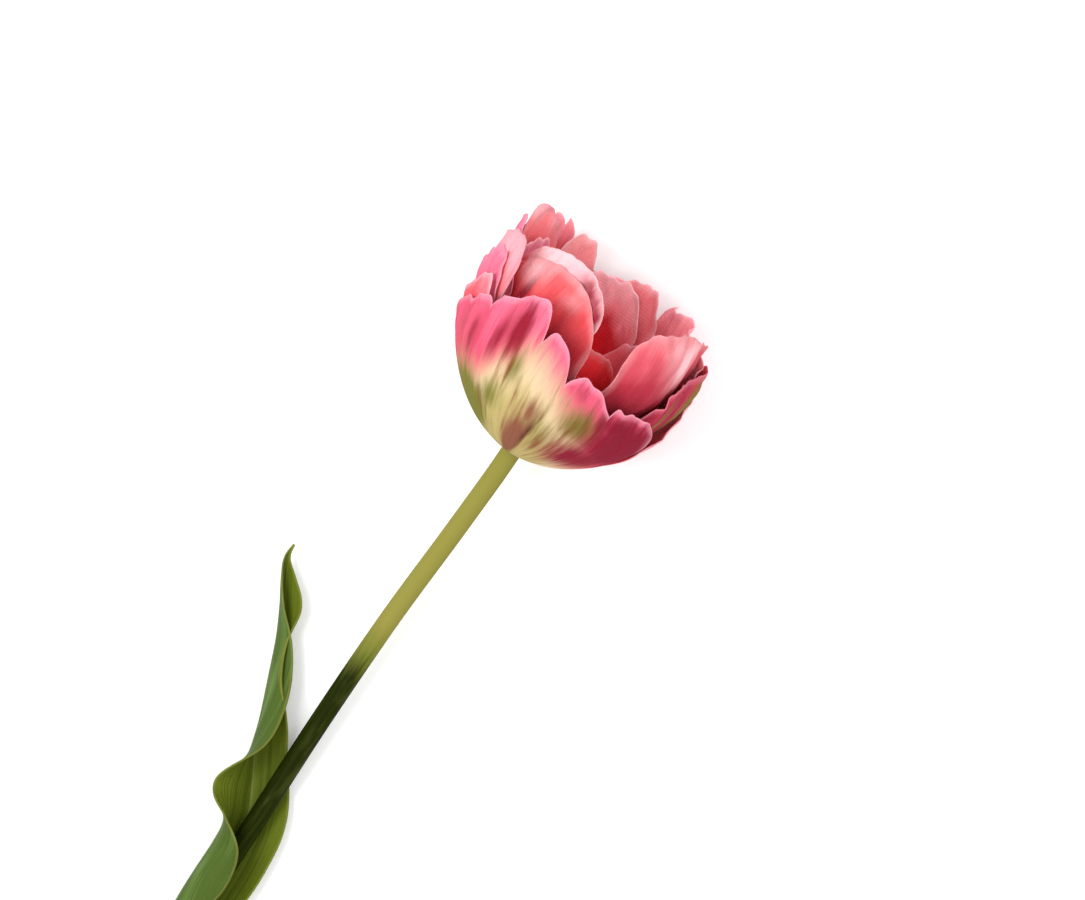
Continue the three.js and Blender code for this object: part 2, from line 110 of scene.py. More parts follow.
# The petals by whorl, from the heart outwards. A petal has a turn round the axis, 0 facing up and 90 to the
# right, a length, a width, and its midline's lean away from the axis at even steps above the root.
WHORLS = [
    {
        "petal_heart_front": {
            "turn": 18, "length": 43, "width": 28, "lean": [21, 12, 2, -20],
            "crown": [0.7, 0.95, 1, 0.98, 0.88], "pleat": 0,
        },
        "petal_inner_right": {
            "turn": 69, "length": 73, "width": 61, "lean": [46, 34, 4, -10],
            "taper": 2.5, "crown": [0.98, 1.05, 1.03, 0.95, 0.85], "notches": [0.1], "cut": 2,
            "open": 1, "slip": -3,
        },
    },
    {
        "petal_right_back": {
            "turn": 134, "length": 48, "width": 34, "lean": [45, 31, 10, 2],
            "notches": [-0.4, 0, 0.4], "pleat": 0.8,
        },
        "petal_rim": {
            "turn": -52, "length": 74, "width": 60, "lean": [42, 21, 2, -20],
            "taper": 3.5, "crown": RIMMED, "open": 1, "pleat": 0,
        },
    },
    {
        "petal_heart_back": {
            "turn": 189, "length": 60, "width": 36, "lean": [38, 20, 8, 4],
            "crown": [0.86, 1, 1.01, 0.97, 0.7], "pleat": 0,
        },
        "petal_hood": {
            "turn": -49, "length": 71, "width": 63, "lean": [44, 23, 2, -22],
            "taper": 3.5, "crown": HOODED, "open": 1, "pleat": 0,
        },
        "petal_left_tip": {
            "turn": -112, "length": 63, "width": 32, "lean": [39, 23, 8, 6],
            "taper": 3, "notches": [0.3], "cut": 2, "open": 1.2,
        },
    },
    {
        "petal_back_thin": {
            "turn": 177, "length": 68, "width": 34, "lean": [42, 20, 7, 4],
            "root": 1.8, "crown": [0.9, 1, 0.97, 0.9, 0.7], "pleat": 0,
        },
        "petal_back_round": {
            "turn": -149, "length": 72, "width": 23, "lean": [44, 22, 9, 6],
            "root": 1.2, "open": 1.2, "pleat": 0,
        },
        "petal_peak": {
            "turn": -124, "length": 80, "width": 34, "lean": [44, 22, 7, 6],
            "root": 1.3, "crown": [0.5, 0.8, 0.96, 0.97, 0.75], "notches": [-0.3], "open": 1.2,
        },
        "petal_under_left": {
            "turn": -98, "length": 78, "width": 56, "lean": [44, 22, 10, 4],
            "root": 1.4, "taper": 2.5, "crown": [0.5, 0.8, 0.94, 1.02, 0.86], "notches": [-0.4, 0.1],
            "cut": 2.5, "open": 1,
        },
        "petal_left_pale": {
            "turn": -72, "length": 77, "width": 33, "lean": [47, 31, 11, -4],
            "root": 1.3, "taper": 3.5, "crown": [0.7, 0.92, 1, 1.04, 1], "open": 1.2,
        },
    },
    {
        "petal_right_outer": {
            "turn": 118, "length": 69, "width": 48, "lean": [44, 29, 9, -4],
            "taper": 3, "crown": [0.7, 0.95, 1, 1.04, 1.04], "notches": [0.25, 0.7], "cut": 2, "pleat": 0.8,
        },
        "petal_left_middle": {
            "turn": -74, "length": 68, "width": 31, "lean": [50, 33, 15, -2],
            "taper": 3.5, "crown": [0.7, 0.9, 1.01, 1.06, 0.97],
        },
    },
    {
        "petal_peak_crinkled": {
            "turn": -136, "length": 81, "width": 32, "lean": [50, 22, 8, 6],
            "notches": [-0.5, -0.1, 0.3], "cut": 3, "pleat": 1,
        },
        "petal_left_low": {
            "turn": -69, "length": 63, "width": 39, "lean": [53, 37, 20, 2],
            "taper": 3.5, "crown": [0.7, 0.85, 0.99, 1.06, 0.8], "notches": [-0.1], "cut": 1,
        },
        "petal_right_flame": {
            "turn": 95, "length": 69, "width": 60, "lean": [47, 28, 10, -12],
            "root": 2.8, "taper": 2.5, "crown": BROAD, "notches": [-0.36, 0.3], "cut": 2.5,
            "open": 1, "pleat": 0.8,
        },
    },
    {
        "petal_under_right": {
            "turn": 131, "length": 66, "width": 56, "lean": [48, 25, 9, -2],
            "root": 2.5, "taper": 1.15, "crown": BROAD, "notches": [-0.5, 0, 0.5], "cut": 2.5,
        },
        "petal_under_middle": {
            "turn": 188, "length": 68, "width": 54, "lean": [54, 22, 18, 18],
            "root": 2.5, "taper": 1.15, "notches": [-0.5, 0, 0.5], "cut": 2.5,
            "open": 2.2, "pleat": 0.4,
        },
        "petal_front": {
            "turn": -18, "length": 86, "width": 110, "lean": [49, 28, 13, 0], "root": 6.4, "taper": 1.15,
            "crown": [0.42, 0.54, 0.71, 0.78, 0.84, 0.925, 0.975, 0.88, 0.82, 0.77, 0.735, 0.73, 0.7],
            "notches": [-0.55, -0.37, -0.2, 0.06, 0.3, 0.63, 0.79],
            "cut": [3.5, 4, 1, 12, 10, 6, 1.5], "open": 1, "slip": -1.5, "pleat": 0.5,
        },
    },
]
ROOT_PLAY = 0.1  # that the petals' roots have over their seat's gap
ROOT_RADIUS = RECEPTACLE_RADIUS + SEAT_GAP + ROOT_PLAY
ROOT_STEP = 1.25  # height between one whorl of petals and the next
ROOT_LEAN = (30, 72)  # of a petal's midline at its root, in the first whorl and in the last
FULL_WIDTH_AT = 0.62  # share of the length at which a petal is at its widest
LOWEST = "petal_under_middle"  # the petal that the bloom lies on

# The leaf from its sheath to its tip. rib is the place of its midrib. Each wing has a width, the angle at
# which it leaves the midrib above level, and how far it curls over on its way to the margin.
LEAF = [
    {"rib": (-0.95, -210, 0.4), "left": (9.5, 0, 130), "right": (7, 0, 95)},
    {"rib": (-1.1, -200, 0.4), "left": (15, 0, 165), "right": (8.5, 0, 85)},
    {"rib": (-1.2, -188, 0.4), "left": (25, 0, 185), "right": (11, 4, 60)},
    {"rib": (-0.8, -175, 0.4), "left": (31, 4, 190), "right": (13, 8, 40)},
    {"rib": (-2, -162, 0.4), "left": (28, 12, 164), "right": (13.5, 12, 24)},
    {"rib": (-4.8, -151, 0.4), "left": (22, 40, 60), "right": (14, 14, 14)},
    {"rib": (-10.5, -140, 0.4), "left": (19, 62, -20), "right": (13, 13, 4)},
    {"rib": (-16.5, -129, 0.4), "left": (17, 72, 60), "right": (11.5, 18, 4)},
    {"rib": (-21.2, -118, 0.4), "left": (15, 92, 60), "right": (13, 44, 10)},
    {"rib": (-25.8, -107, 0.6), "left": (13, 100, 60), "right": (11, 55, 20)},
    {"rib": (-30.4, -96, 1.2), "left": (10, 105, 40), "right": (9, 52, 20)},
    {"rib": (-35.4, -86, 2.4), "left": (7.5, 92, 20), "right": (9.5, 34, 10)},
    {"rib": (-40.4, -77.5, 3.4), "left": (4.5, 88, 10), "right": (6, 30, 10)},
    {"rib": (-43, -71, 4.6), "left": (1.8, 80, 0), "right": (2, 40, 0)},
    {"rib": (-43.1, -66.2, 5.8), "left": (0.5, 80, 0), "right": (0.5, 40, 0)},
]

# ---- Curves and grids ---------------------------------------------------------------------------


def along(values, share):
    """A smooth curve through evenly spaced values, read at shares from 0 to 1."""
    values = np.asarray(values, float)
    last = len(values) - 1
    x = np.asarray(np.clip(share, 0, 1) * last)
    i = np.minimum(np.floor(x).astype(int), last - 1)
    t = (x - i).reshape(x.shape + (1,) * (values.ndim - 1))
    a, b, c, d = (values[np.clip(i + step, 0, last)] for step in (-1, 0, 1, 2))
    return b + 0.5 * t * (c - a + t * (2 * a - 5 * b + 4 * c - d + t * (3 * (b - c) + d - a)))


def wander(x, seed, waves=5):
    """A smooth, irregular line of about unit height, whose waves are about one unit of x long."""
    draw = np.random.default_rng(seed)
    pitch = draw.uniform(0.5, 1.6, waves)
    start = draw.uniform(0, 1, waves)
    turns = 2 * math.pi * (np.multiply.outer(x, pitch) + start)
    return np.sin(turns).sum(-1) / math.sqrt(waves)


def smooth_step(x, low, high):
    """A soft rise from 0 at low to 1 at high."""
    t = np.clip((x - low) / (high - low), 0, 1)
    return t * t * (3 - 2 * t)


def unit_length(ways):
    """Ways, each brought to a length of one."""
    return ways / np.maximum(np.linalg.norm(ways, axis=-1, keepdims=True), 1e-9)


def normals(grid):
    """The direction that each point of a grid faces: outwards, if the grid runs left to right and up."""
    return unit_length(np.cross(np.gradient(grid, axis=1), np.gradient(grid, axis=0)))


def gathered(field, gather):
    """A field in which each place has what gather makes of it and its neighbours."""
    wide = np.pad(field, 1, constant_values=np.nan)
    rows, columns = field.shape
    near = [wide[i : i + rows, j : j + columns] for i in range(3) for j in range(3)]
    return gather(np.stack(near), axis=0)


def resampled(field, rows, columns):
    """A coarse grid's values, read smoothly at fractional rows and columns."""
    i = np.clip(np.floor(rows).astype(int), 0, field.shape[0] - 2)
    j = np.clip(np.floor(columns).astype(int), 0, field.shape[1] - 2)
    s, t = rows - i, columns - j
    low = field[i, j] * (1 - t) + field[i, j + 1] * t
    high = field[i + 1, j] * (1 - t) + field[i + 1, j + 1] * t
    return low * (1 - s) + high * s


# ---- The leaf's and the stem's lines ------------------------------------------------------------

LEAF_ROWS = 34  # of the leaf's solid
WING_COLUMNS = 6  # of the solid, from the midrib to a margin
STEPS_A_COLUMN = 4
RIB_STEP = 0.01  # share of the leaf over which its midrib's direction is taken
MISFIT = 0.01  # the most by which the leaf drawn here may miss the size of the frame's


def wing(rib, side, shape, columns):
    """Points of one wing, from beside the midrib to its margin."""
    width, rise, curl = shape
    steps = columns * STEPS_A_COLUMN
    angles = np.radians(rise + curl * (np.arange(steps) + 0.5) / steps)
    out = np.cumsum(np.cos(angles) * width / steps)
    up = np.cumsum(np.sin(angles) * width / steps)
    points = rib + np.outer(out, side) + np.outer(up, (0, 0, 1))
    return points[STEPS_A_COLUMN - 1 :: STEPS_A_COLUMN]


def leaf_grid(rows, columns):
    """The middle of the blade, by rows from the sheath to the tip and columns from left to right."""

    def read(name, share):
        return np.array([along([station[name][k] for station in LEAF], share) for k in range(3)])

    grid = []
    for share in np.linspace(0, 1, rows + 1):
        rib = read("rib", share)
        run = read("rib", share + RIB_STEP) - read("rib", share - RIB_STEP)
        right = unit_length(np.array((run[1], -run[0], 0)))
        left_wing = wing(rib, -right, read("left", share), columns)[::-1]
        grid.append(np.vstack([left_wing, rib, wing(rib, right, read("right", share), columns)]))
    return np.array(grid)


def solid_normals(grid):
    """The directions in which the solids' faces were moved off their middle."""
    wide = np.pad(grid, ((1, 1), (1, 1), (0, 0)), mode="edge")
    return unit_length(np.cross(wide[1:-1, 2:] - wide[1:-1, :-2], wide[2:, 1:-1] - wide[:-2, 1:-1]))


def drawing_origin():
    """Where the drawing's origin is in the part, from a node whose place the drawing gives too."""
    middle = leaf_grid(LEAF_ROWS, WING_COLUMNS)
    off = solid_normals(middle) * SHEET["leaf"] / 2
    drawn = np.concatenate([middle + off, middle - off]).reshape(-1, 3)
    low, high = (np.array(corner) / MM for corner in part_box("leaf"))
    misfit = np.abs((drawn.max(0) - drawn.min(0)) - (high - low)).max()
    if misfit > MISFIT:
        raise RuntimeError(f"the leaf in the frame isn't the one drawn here: they differ by {misfit:.2f} mm")
    return low - drawn.min(0)


DRAWING_ORIGIN = drawing_origin()

# ---- The petals' lines --------------------------------------------------------------------------

LINE_STEPS = 80
PAST_TIP = 1.25  # share of the length to which a midline goes on
PAST_MARGIN = 1.2  # where the outer lobes would end, past the margins at -1 and 1


def bloom_points(radius, turn, height, sideways=0.0):
    """Points of the bloom, from radius, turn from the side that faces up, height and a distance sideways."""
    right = radius * math.sin(turn) + sideways * math.cos(turn)
    front = radius * math.cos(turn) - sideways * math.sin(turn)
    cos, sin = math.cos(BLOOM_LIFT), math.sin(BLOOM_LIFT)
    ahead, up = height * cos - front * sin, height * sin + front * cos
    return np.stack(np.broadcast_arrays(right, ahead, up), -1) + BLOOM_BASE + DRAWING_ORIGIN


def midline(petal):
    """The petal's midline, as a function from share of the length to radius and height."""
    step = petal["length"] * PAST_TIP / LINE_STEPS
    lean = np.radians(along(petal["lean"], (np.arange(LINE_STEPS) + 0.5) * PAST_TIP / LINE_STEPS))
    radius = ROOT_RADIUS + np.append(0, np.cumsum(np.sin(lean) * step))
    height = petal["root_height"] + np.append(0, np.cumsum(np.cos(lean) * step))
    marks = np.linspace(0, PAST_TIP, LINE_STEPS + 1)
    return lambda share: (np.interp(share, marks, radius), np.interp(share, marks, height))


def drawn_petals():
    """The petals from the heart outwards, each with what follows from its whorl."""
    petals = []
    last = len(WHORLS) - 1
    for step, whorl in enumerate(WHORLS):
        for name, own in whorl.items():
            petal = {**PLAIN, **own, "name": name, "seed": len(petals) + 1}
            petal["lean"] = [ROOT_LEAN[0] + (ROOT_LEAN[1] - ROOT_LEAN[0]) * step / last, *own["lean"]]
            petal["root_height"] = (last - step) * ROOT_STEP
            petal["line"] = midline(petal)
            petals.append(petal)
    return petals


def lobe_at(petal, u):
    """The lobe that u lies in, counted from the left, and how far u is across it, from 0 to 1."""
    edges = np.array([-PAST_MARGIN, *petal["notches"], PAST_MARGIN])
    i = np.searchsorted(edges[1:], u, side="left")
    return i, (u - edges[i]) / (edges[i + 1] - edges[i])


def length_at(petal, u):
    """The petal's length at u across it, from -1 at its left margin to 1 at its right."""
    length = petal["length"] * along(petal["crown"], (u + 1) / 2)
    if petal["notches"]:
        lobe, across = lobe_at(petal, u)
        cuts = np.broadcast_to(petal["cut"], len(petal["notches"]))
        nearest = np.clip(np.where(across < 0.5, lobe - 1, lobe), 0, len(cuts) - 1)
        length = length - cuts[nearest] * np.abs(2 * across - 1) ** 3
    return length


def pleat_at(petal, u):
    """The folds that run down from the lobes: 1 in the middle of a lobe and -1 at a notch."""
    return -np.cos(2 * math.pi * lobe_at(petal, u)[1])


def half_width(petal, share):
    """Half the petal's width at a share of its length."""
    widen = np.sin(math.pi / 2 * np.minimum(1, share / FULL_WIDTH_AT)) ** petal["taper"]
    return petal["root"] + (petal["width"] / 2 - petal["root"]) * widen


def petal_points(petal, u, share):
    """Points of a petal's middle, at u across it and a share of its length."""
    radius, height = petal["line"](share)
    bend = petal["open"] * radius
    angle = u * half_width(petal, share) / bend
    lean = np.radians(along(petal["lean"], share))
    fold = petal["pleat"] * pleat_at(petal, u) * share**2
    out = fold + petal["slip"] * u * np.minimum(1, share * 2)
    return bloom_points(
        radius - bend * (1 - np.cos(angle)) + out * np.cos(lean),
        math.radians(petal["turn"]),
        height - out * np.sin(lean),
        bend * np.sin(angle),
    )


# ---- Nesting the petals -------------------------------------------------------------------------

# Each petal is laid over those inside it. Seen from the core of the bloom, it is moved out until it clears
# what is already there, both at its own points and where points of the inner petals would come through.

COLUMN_WIDTH = 4.5  # of the solids' grids
LOBE_COLUMNS = 3  # at least, in each lobe
PETAL_ROWS = 9
ROW_CROWDING = 1.15  # how much closer the rows are at the root
CORE_HEIGHT = 36  # over the base of the bloom
CORE = bloom_points(0.0, 0.0, CORE_HEIGHT)
CLEARANCE = SHEET["petal"] + 0.25  # between the middles of two solids
LEAST_FACING = 0.5  # limits the clearance where a face is seen edge on
ROOTED_ROWS = 1.4  # the rows over which the lift grows from nothing at the root


def solid_columns(petal):
    """The places across a petal where its solid has a line of points."""
    edges = [-1, *petal["notches"], 1]
    places = [-1.0]
    for left, right in zip(edges, edges[1:]):
        count = max(LOBE_COLUMNS, math.floor((right - left) / 2 * (petal["width"] / COLUMN_WIDTH) + 0.5))
        places += [left + (right - left) * n / count for n in range(1, count + 1)]
    return np.array(places)


def solid_grid(petal):
    """The middle of a petal's solid, by rows from its root to its tip."""
    up = (np.arange(PETAL_ROWS + 1) / PETAL_ROWS) ** ROW_CROWDING
    u, v = np.meshgrid(solid_columns(petal), up)
    return petal_points(petal, u, v * length_at(petal, u) / petal["length"])


def grid_triangles(shape):
    """Rows of three point numbers, two triangles for each cell of a grid."""
    numbers = np.arange(shape[0] * shape[1]).reshape(shape)
    a, b = numbers[:-1, :-1].ravel(), numbers[:-1, 1:].ravel()
    c, d = numbers[1:, 1:].ravel(), numbers[1:, :-1].ravel()
    return np.concatenate([np.stack([a, b, c], 1), np.stack([a, d, c], 1)])


def sights(points):
    """How far points are from the core of the bloom, and in which direction."""
    ways = points - CORE
    far = np.linalg.norm(ways, axis=-1)
    return far, ways / far[..., None]


def hits(directions, triangles):
    """For each direction from the core and each triangle, how far the triangle is; NaN where it's missed."""
    a, b, c = (triangles[:, k] - CORE for k in range(3))
    shares = [directions @ np.cross(p, q).T for p, q in ((b, c), (c, a), (a, b))]
    inside = (np.minimum.reduce(shares) >= 0) | (np.maximum.reduce(shares) <= 0)
    with np.errstate(divide="ignore", invalid="ignore"):
        distance = np.einsum("ij,ij->i", a, np.cross(b, c)) / sum(shares)
    return np.where(inside & (distance > 0), distance, np.nan)


def lifted(grid, laid):
    """How far each point of a solid's grid was moved out from the core to clear the petals laid before."""
    points = grid.reshape(-1, 3)
    corners = grid_triangles(grid.shape[:2])
    faces = points[corners]
    facing = unit_length(np.cross(faces[:, 2] - faces[:, 1], faces[:, 0] - faces[:, 1]))
    far, directions = sights(points)
    lift = np.zeros(len(points))
    if laid:
        under_faces = np.concatenate([under[grid_triangles(shape)] for under, shape in laid])
        nothing = np.full((len(points), 1), -np.inf)
        outermost = np.nanmax(np.concatenate([hits(directions, under_faces), nothing], 1), axis=1)
        for k in range(3):
            seen = np.abs(np.einsum("ij,ij->i", facing, directions[corners[:, k]]))
            need = outermost[corners[:, k]] + CLEARANCE / np.maximum(LEAST_FACING, seen) - far[corners[:, k]]
            np.maximum.at(lift, corners[:, k], need)
        under_points = np.concatenate([under for under, _ in laid])
        under_far, under_directions = sights(under_points)
        seen = np.abs(under_directions @ facing.T)
        distance = hits(under_directions, faces)
        need = under_far[:, None] + CLEARANCE / np.maximum(LEAST_FACING, seen) - distance
        need = np.where(np.isnan(need), 0, need).max(0)
        for k in range(3):
            np.maximum.at(lift, corners[:, k], need)
    widest = gathered(lift.reshape(grid.shape[:2]), np.nanmax)
    rooted = np.clip(np.arange(grid.shape[0]) / ROOTED_ROWS, 0, 1)
    return gathered(widest, np.nanmean) * rooted[:, None]


def nest(petals):
    """Gives each petal the lift that its solid has."""
    laid = []
    for petal in petals:
        grid = solid_grid(petal)
        petal["lift"] = lifted(grid, laid)
        _, directions = sights(grid)
        grid = grid + directions * petal["lift"][..., None]
        laid.append((grid.reshape(-1, 3), grid.shape[:2]))


# ---- The finer petals ---------------------------------------------------------------------------

CELL = 0.95  # mm, of the finer grid
CORNER = 7  # mm, radius of the corners between a petal's margins and its top edge
CORNER_COLUMNS = 6
LEAST_COLUMNS = 4  # in each lobe
FINE_CLEARANCE = 0.55  # between the middles of two finer petals
SIGHT_REACH = 200  # from the core, past every petal
LIFT_SPREADS, LIFT_SMOOTHINGS = 2, 4  # rounds in which a lift is spread to its neighbours and smoothed

# What the finer petals add, where a petal's own entry doesn't say, in mm: the height of the waves along the
# margin, how far the margin turns outwards, how uneven the top edge is, how high the folds stand, and
# hollows, each as (place across from -1 to 1, share of the length, reach across, reach along, depth).
PLAIN_FORM = {"ripple": 0.5, "furl": 0.0, "uneven": 0.5, "folds": 0.3, "hollows": []}
FORMS = {
    "petal_front": {
        "folds": 0.4, "ripple": 0.6, "furl": 0.6,
        "hollows": [(-0.09, 0.78, 4, 14, 1.1), (0.25, 0.36, 2.2, 9, 1.2)],
    },
    "petal_rim": {"ripple": 0.2, "uneven": 0.12},
    "petal_hood": {
        "ripple": 0.4, "uneven": 0.12,
        "hollows": [(-0.03, 0.85, 4, 7, 1.2), (0.45, 0.6, 7, 11, 0.7)],
    },
    "petal_inner_right": {"folds": 0.4, "hollows": [(0.3, 0.85, 6, 10, 0.8)]},
    "petal_right_flame": {"folds": 0.5},
    "petal_peak": {"folds": 0.7, "ripple": 0.9, "uneven": 0.5},
    "petal_peak_crinkled": {"ripple": 1.0, "uneven": 0.8},
}
UNEVEN_PITCH, FOLD_PITCH, RIPPLE_PITCH = 7, 9, 11  # about, from one wave to the next
RIPPLE_SLANT = 0.6  # how far a ripple runs on across the petal for each mm along it
RIPPLE_REACH, FURL_REACH = 5.0, 6.0  # from the margin
DIMPLE = 0.25  # height of the dimples of the whole petal
DIMPLE_PITCH = (6, 25)  # across and along
DIMPLE_SWAY = 0.4  # how far the rows of dimples wind, as a share of their pitch across
FOLD_SEED, RIPPLE_SEED, DIMPLE_SEED = 40, 80, 120  # on top of the petal's own
RELIEF_FROM, RELIEF_FULL = 0.25, 0.9  # shares of the length between which waves, folds and dimples set in


def fine_columns(petal):
    """Places across a finer petal: on every notch, and close together at the rounded corners."""
    edges = [-1, *petal["notches"], 1]
    places = []
    for left, right in zip(edges, edges[1:]):
        count = max(LEAST_COLUMNS, math.ceil((right - left) / 2 * petal["width"] / CELL))
        places += list(np.linspace(left, right, count + 1))
    corner = 2 * CORNER / petal["width"]
    bends = 1 - corner * (1 - np.sin(np.linspace(0, math.pi / 2, CORNER_COLUMNS + 1)))
    inner = [u for u in places if abs(u) < 1 - corner]
    return np.unique(np.round(inner + list(bends) + list(-bends), 5))


def fine_length(petal, form, u):
    """The finer petal's length: rounded at its corners and a little uneven along its top edge."""
    corner = 2 * CORNER / petal["width"]
    t = np.clip((np.abs(u) - (1 - corner)) / corner, 0, 1)
    rounded = CORNER * (1 - np.sqrt(1 - t * t))
    uneven = form["uneven"] * wander(u * petal["width"] / 2 / UNEVEN_PITCH, petal["seed"]) * (1 - t)
    return length_at(petal, u) - rounded + uneven - form["uneven"]


def spot(petal, u, share, across, up, reach_across, reach_up):
    """A soft spot on a petal, 1 in its middle at a place across and a share of the length, which fades to
    nothing past its two reaches."""
    away = ((u - across) * petal["width"] / 2 / reach_across) ** 2
    away += ((share - up) * petal["length"] / reach_up) ** 2
    return np.exp(-away)


def relief(petal, form, u, share, margin):
    """How far the finer petal's surface stands off the drawing's."""
    x = u * petal["width"] / 2
    y = share * petal["length"]
    seed = petal["seed"]
    fold = pleat_at(petal, u) if petal["notches"] else wander(x / FOLD_PITCH, seed + FOLD_SEED)
    off = form["folds"] * fold
    ripple = wander((x + RIPPLE_SLANT * y) / RIPPLE_PITCH, seed + RIPPLE_SEED)
    off += form["ripple"] * ripple * np.exp(-margin / RIPPLE_REACH)
    off += form["furl"] * np.exp(-margin / FURL_REACH)
    sway = DIMPLE_SWAY * wander(y / DIMPLE_PITCH[1], seed)
    off += DIMPLE * wander(x / DIMPLE_PITCH[0] + sway, seed + DIMPLE_SEED)
    off *= smooth_step(share, RELIEF_FROM, RELIEF_FULL)
    for *place, depth in form["hollows"]:
        off -= depth * spot(petal, u, share, *place)
    return off


def fine_grid(petal):
    """The finer petal's middle, with the place of each point on the petal."""
    form = {**PLAIN_FORM, **FORMS.get(petal["name"], {})}
    columns = fine_columns(petal)
    rows = math.ceil(petal["length"] / CELL)
    u, v = np.meshgrid(columns, np.linspace(0, 1, rows + 1))
    length = fine_length(petal, form, u)
    share = v * length / petal["length"]
    grid = petal_points(petal, u, share)
    margin = np.minimum((1 - np.abs(u)) * half_width(petal, share), (1 - v) * length)

    solid_v = np.clip(share * petal["length"] / length_at(petal, u), 0, 1)
    solid_row = solid_v ** (1 / ROW_CROWDING) * PETAL_ROWS
    solid_column = np.interp(u, solid_columns(petal), np.arange(petal["lift"].shape[1]))
    lift = resampled(petal["lift"], solid_row, solid_column)
    for _ in range(LIFT_SMOOTHINGS):
        lift = gathered(lift, np.nanmean)
    _, directions = sights(grid)
    grid = grid + directions * lift[..., None]
    grid = grid + normals(grid) * relief(petal, form, u, share, margin)[..., None]
    petal.update(u=u, share=share, margin=margin, rooted=np.clip(solid_row / ROOTED_ROWS, 0, 1))
    return grid


def cleared(grid, petal, laid):
    """The finer petal, moved out where it would still touch one laid before."""
    far, directions = sights(grid)
    seen = np.abs((normals(grid) * directions).sum(-1))
    lift = np.zeros(grid.shape[:2])
    core = Vector(CORE)
    for i, j in np.ndindex(lift.shape):
        way = Vector(directions[i, j])
        place, _, _, distance = laid.ray_cast(core + way * SIGHT_REACH, -way, SIGHT_REACH)
        if place is not None:
            gap = FINE_CLEARANCE / max(LEAST_FACING, seen[i, j])
            lift[i, j] = max(0, SIGHT_REACH - distance + gap - far[i, j])
    for _ in range(LIFT_SPREADS):
        lift = gathered(lift, np.nanmax)
    for _ in range(LIFT_SMOOTHINGS):
        lift = gathered(lift, np.nanmean)
    return grid + directions * (lift * petal["rooted"])[..., None]


def fine_petals(thickness):
    """The grids of all the finer petals, in mm."""
    petals = drawn_petals()
    nest(petals)
    points, triangles = np.empty((0, 3)), np.empty((0, 3), int)
    for petal in petals:
        grid = fine_grid(petal)
        if len(points):
            grid = cleared(grid, petal, BVHTree.FromPolygons(points.tolist(), triangles.tolist()))
        triangles = np.concatenate([triangles, grid_triangles(grid.shape[:2]) + len(points)])
        points = np.concatenate([points, grid.reshape(-1, 3)])
        level = thickness / 2 if petal["name"] == LOWEST else SHEET["petal"] / 2 + CLEARANCE
        petal["grid"] = grid.copy()
        petal["grid"][..., 2] = np.maximum(grid[..., 2], level)
    return petals


# ---- Meshes -------------------------------------------------------------------------------------


def scene_object(name, data):
    """An object in the scene for some data."""
    made = bpy.data.objects.new(name, data)
    bpy.context.scene.collection.objects.link(made)
    return made


def add_field(mesh, name, values):
    """Gives each point of a mesh a number or three."""
    is_number = values.ndim == 1
    attribute = mesh.attributes.new(name, "FLOAT" if is_number else "FLOAT_VECTOR", "POINT")
    attribute.data.foreach_set("value" if is_number else "vector", values.ravel().astype(np.float32))


def border(rows, columns):
    """The places round the edge of a grid, in order."""
    loop = [(0, j) for j in range(columns - 1)]
    loop += [(i, columns - 1) for i in range(rows - 1)]
    loop += [(rows - 1, j) for j in range(columns - 1, 0, -1)]
    loop += [(i, 0) for i in range(rows - 1, 0, -1)]
    return np.array(loop)


def edge_directions(grid, loop):
    """The way out of a grid, in its own surface, at each place of its border."""
    rows, columns = grid.shape[:2]
    i, j = loop[:, 0], loop[:, 1]
    inner = grid[np.clip(i, 1, rows - 2), np.clip(j, 1, columns - 2)]
    return unit_length(grid[i, j] - inner)


def sheet_mesh(name, grid, thickness, fields):
    """A closed sheet round a grid, in metres, with a rounded edge and a value of each field at each point."""
    rows, columns = grid.shape[:2]
    facing = normals(grid)
    loop = border(rows, columns)
    edge = grid[loop[:, 0], loop[:, 1]] + edge_directions(grid, loop) * thickness / 2
    faces_off = facing * thickness / 2
    points = np.concatenate([(grid + faces_off).reshape(-1, 3), (grid - faces_off).reshape(-1, 3), edge]) * MM

    count = rows * columns
    numbers = np.arange(count).reshape(rows, columns)
    corners = (numbers[:-1, :-1], numbers[:-1, 1:], numbers[1:, 1:], numbers[1:, :-1])
    cells = np.stack([corner.ravel() for corner in corners], 1)
    front = loop[:, 0] * columns + loop[:, 1]
    after = np.roll(front, -1)
    rim = 2 * count + np.arange(len(loop))
    rim_after = np.roll(rim, -1)
    faces = np.concatenate(
        [
            cells,
            cells[:, ::-1] + count,
            np.stack([front, rim, rim_after, after], 1),
            np.stack([rim, front + count, after + count, rim_after], 1),
        ]
    )
    mesh = bpy.data.meshes.new(name)
    mesh.from_pydata(points.tolist(), [], faces.tolist())
    for field, values in fields.items():
        flat = values.reshape(count, *values.shape[2:])
        add_field(mesh, field, np.concatenate([flat, flat, flat[front]]))
    add_field(mesh, "side", np.concatenate([np.ones(count), -np.ones(count), np.zeros(len(loop))]))
    mesh.shade_smooth()
    mesh.update()
    return mesh


def add_piece(name, mesh, material, slot, *nodes):
    """Shows a mesh as a piece of the flower, in a material unless it has its own, in place of CAD nodes."""
    piece = scene_object(name, mesh)
    if material is not None:
        mesh.materials.append(material)
    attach(piece, "root")
    if nodes:
        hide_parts(*nodes)
    return piece


# ---- Nodes --------------------------------------------------------------------------------------


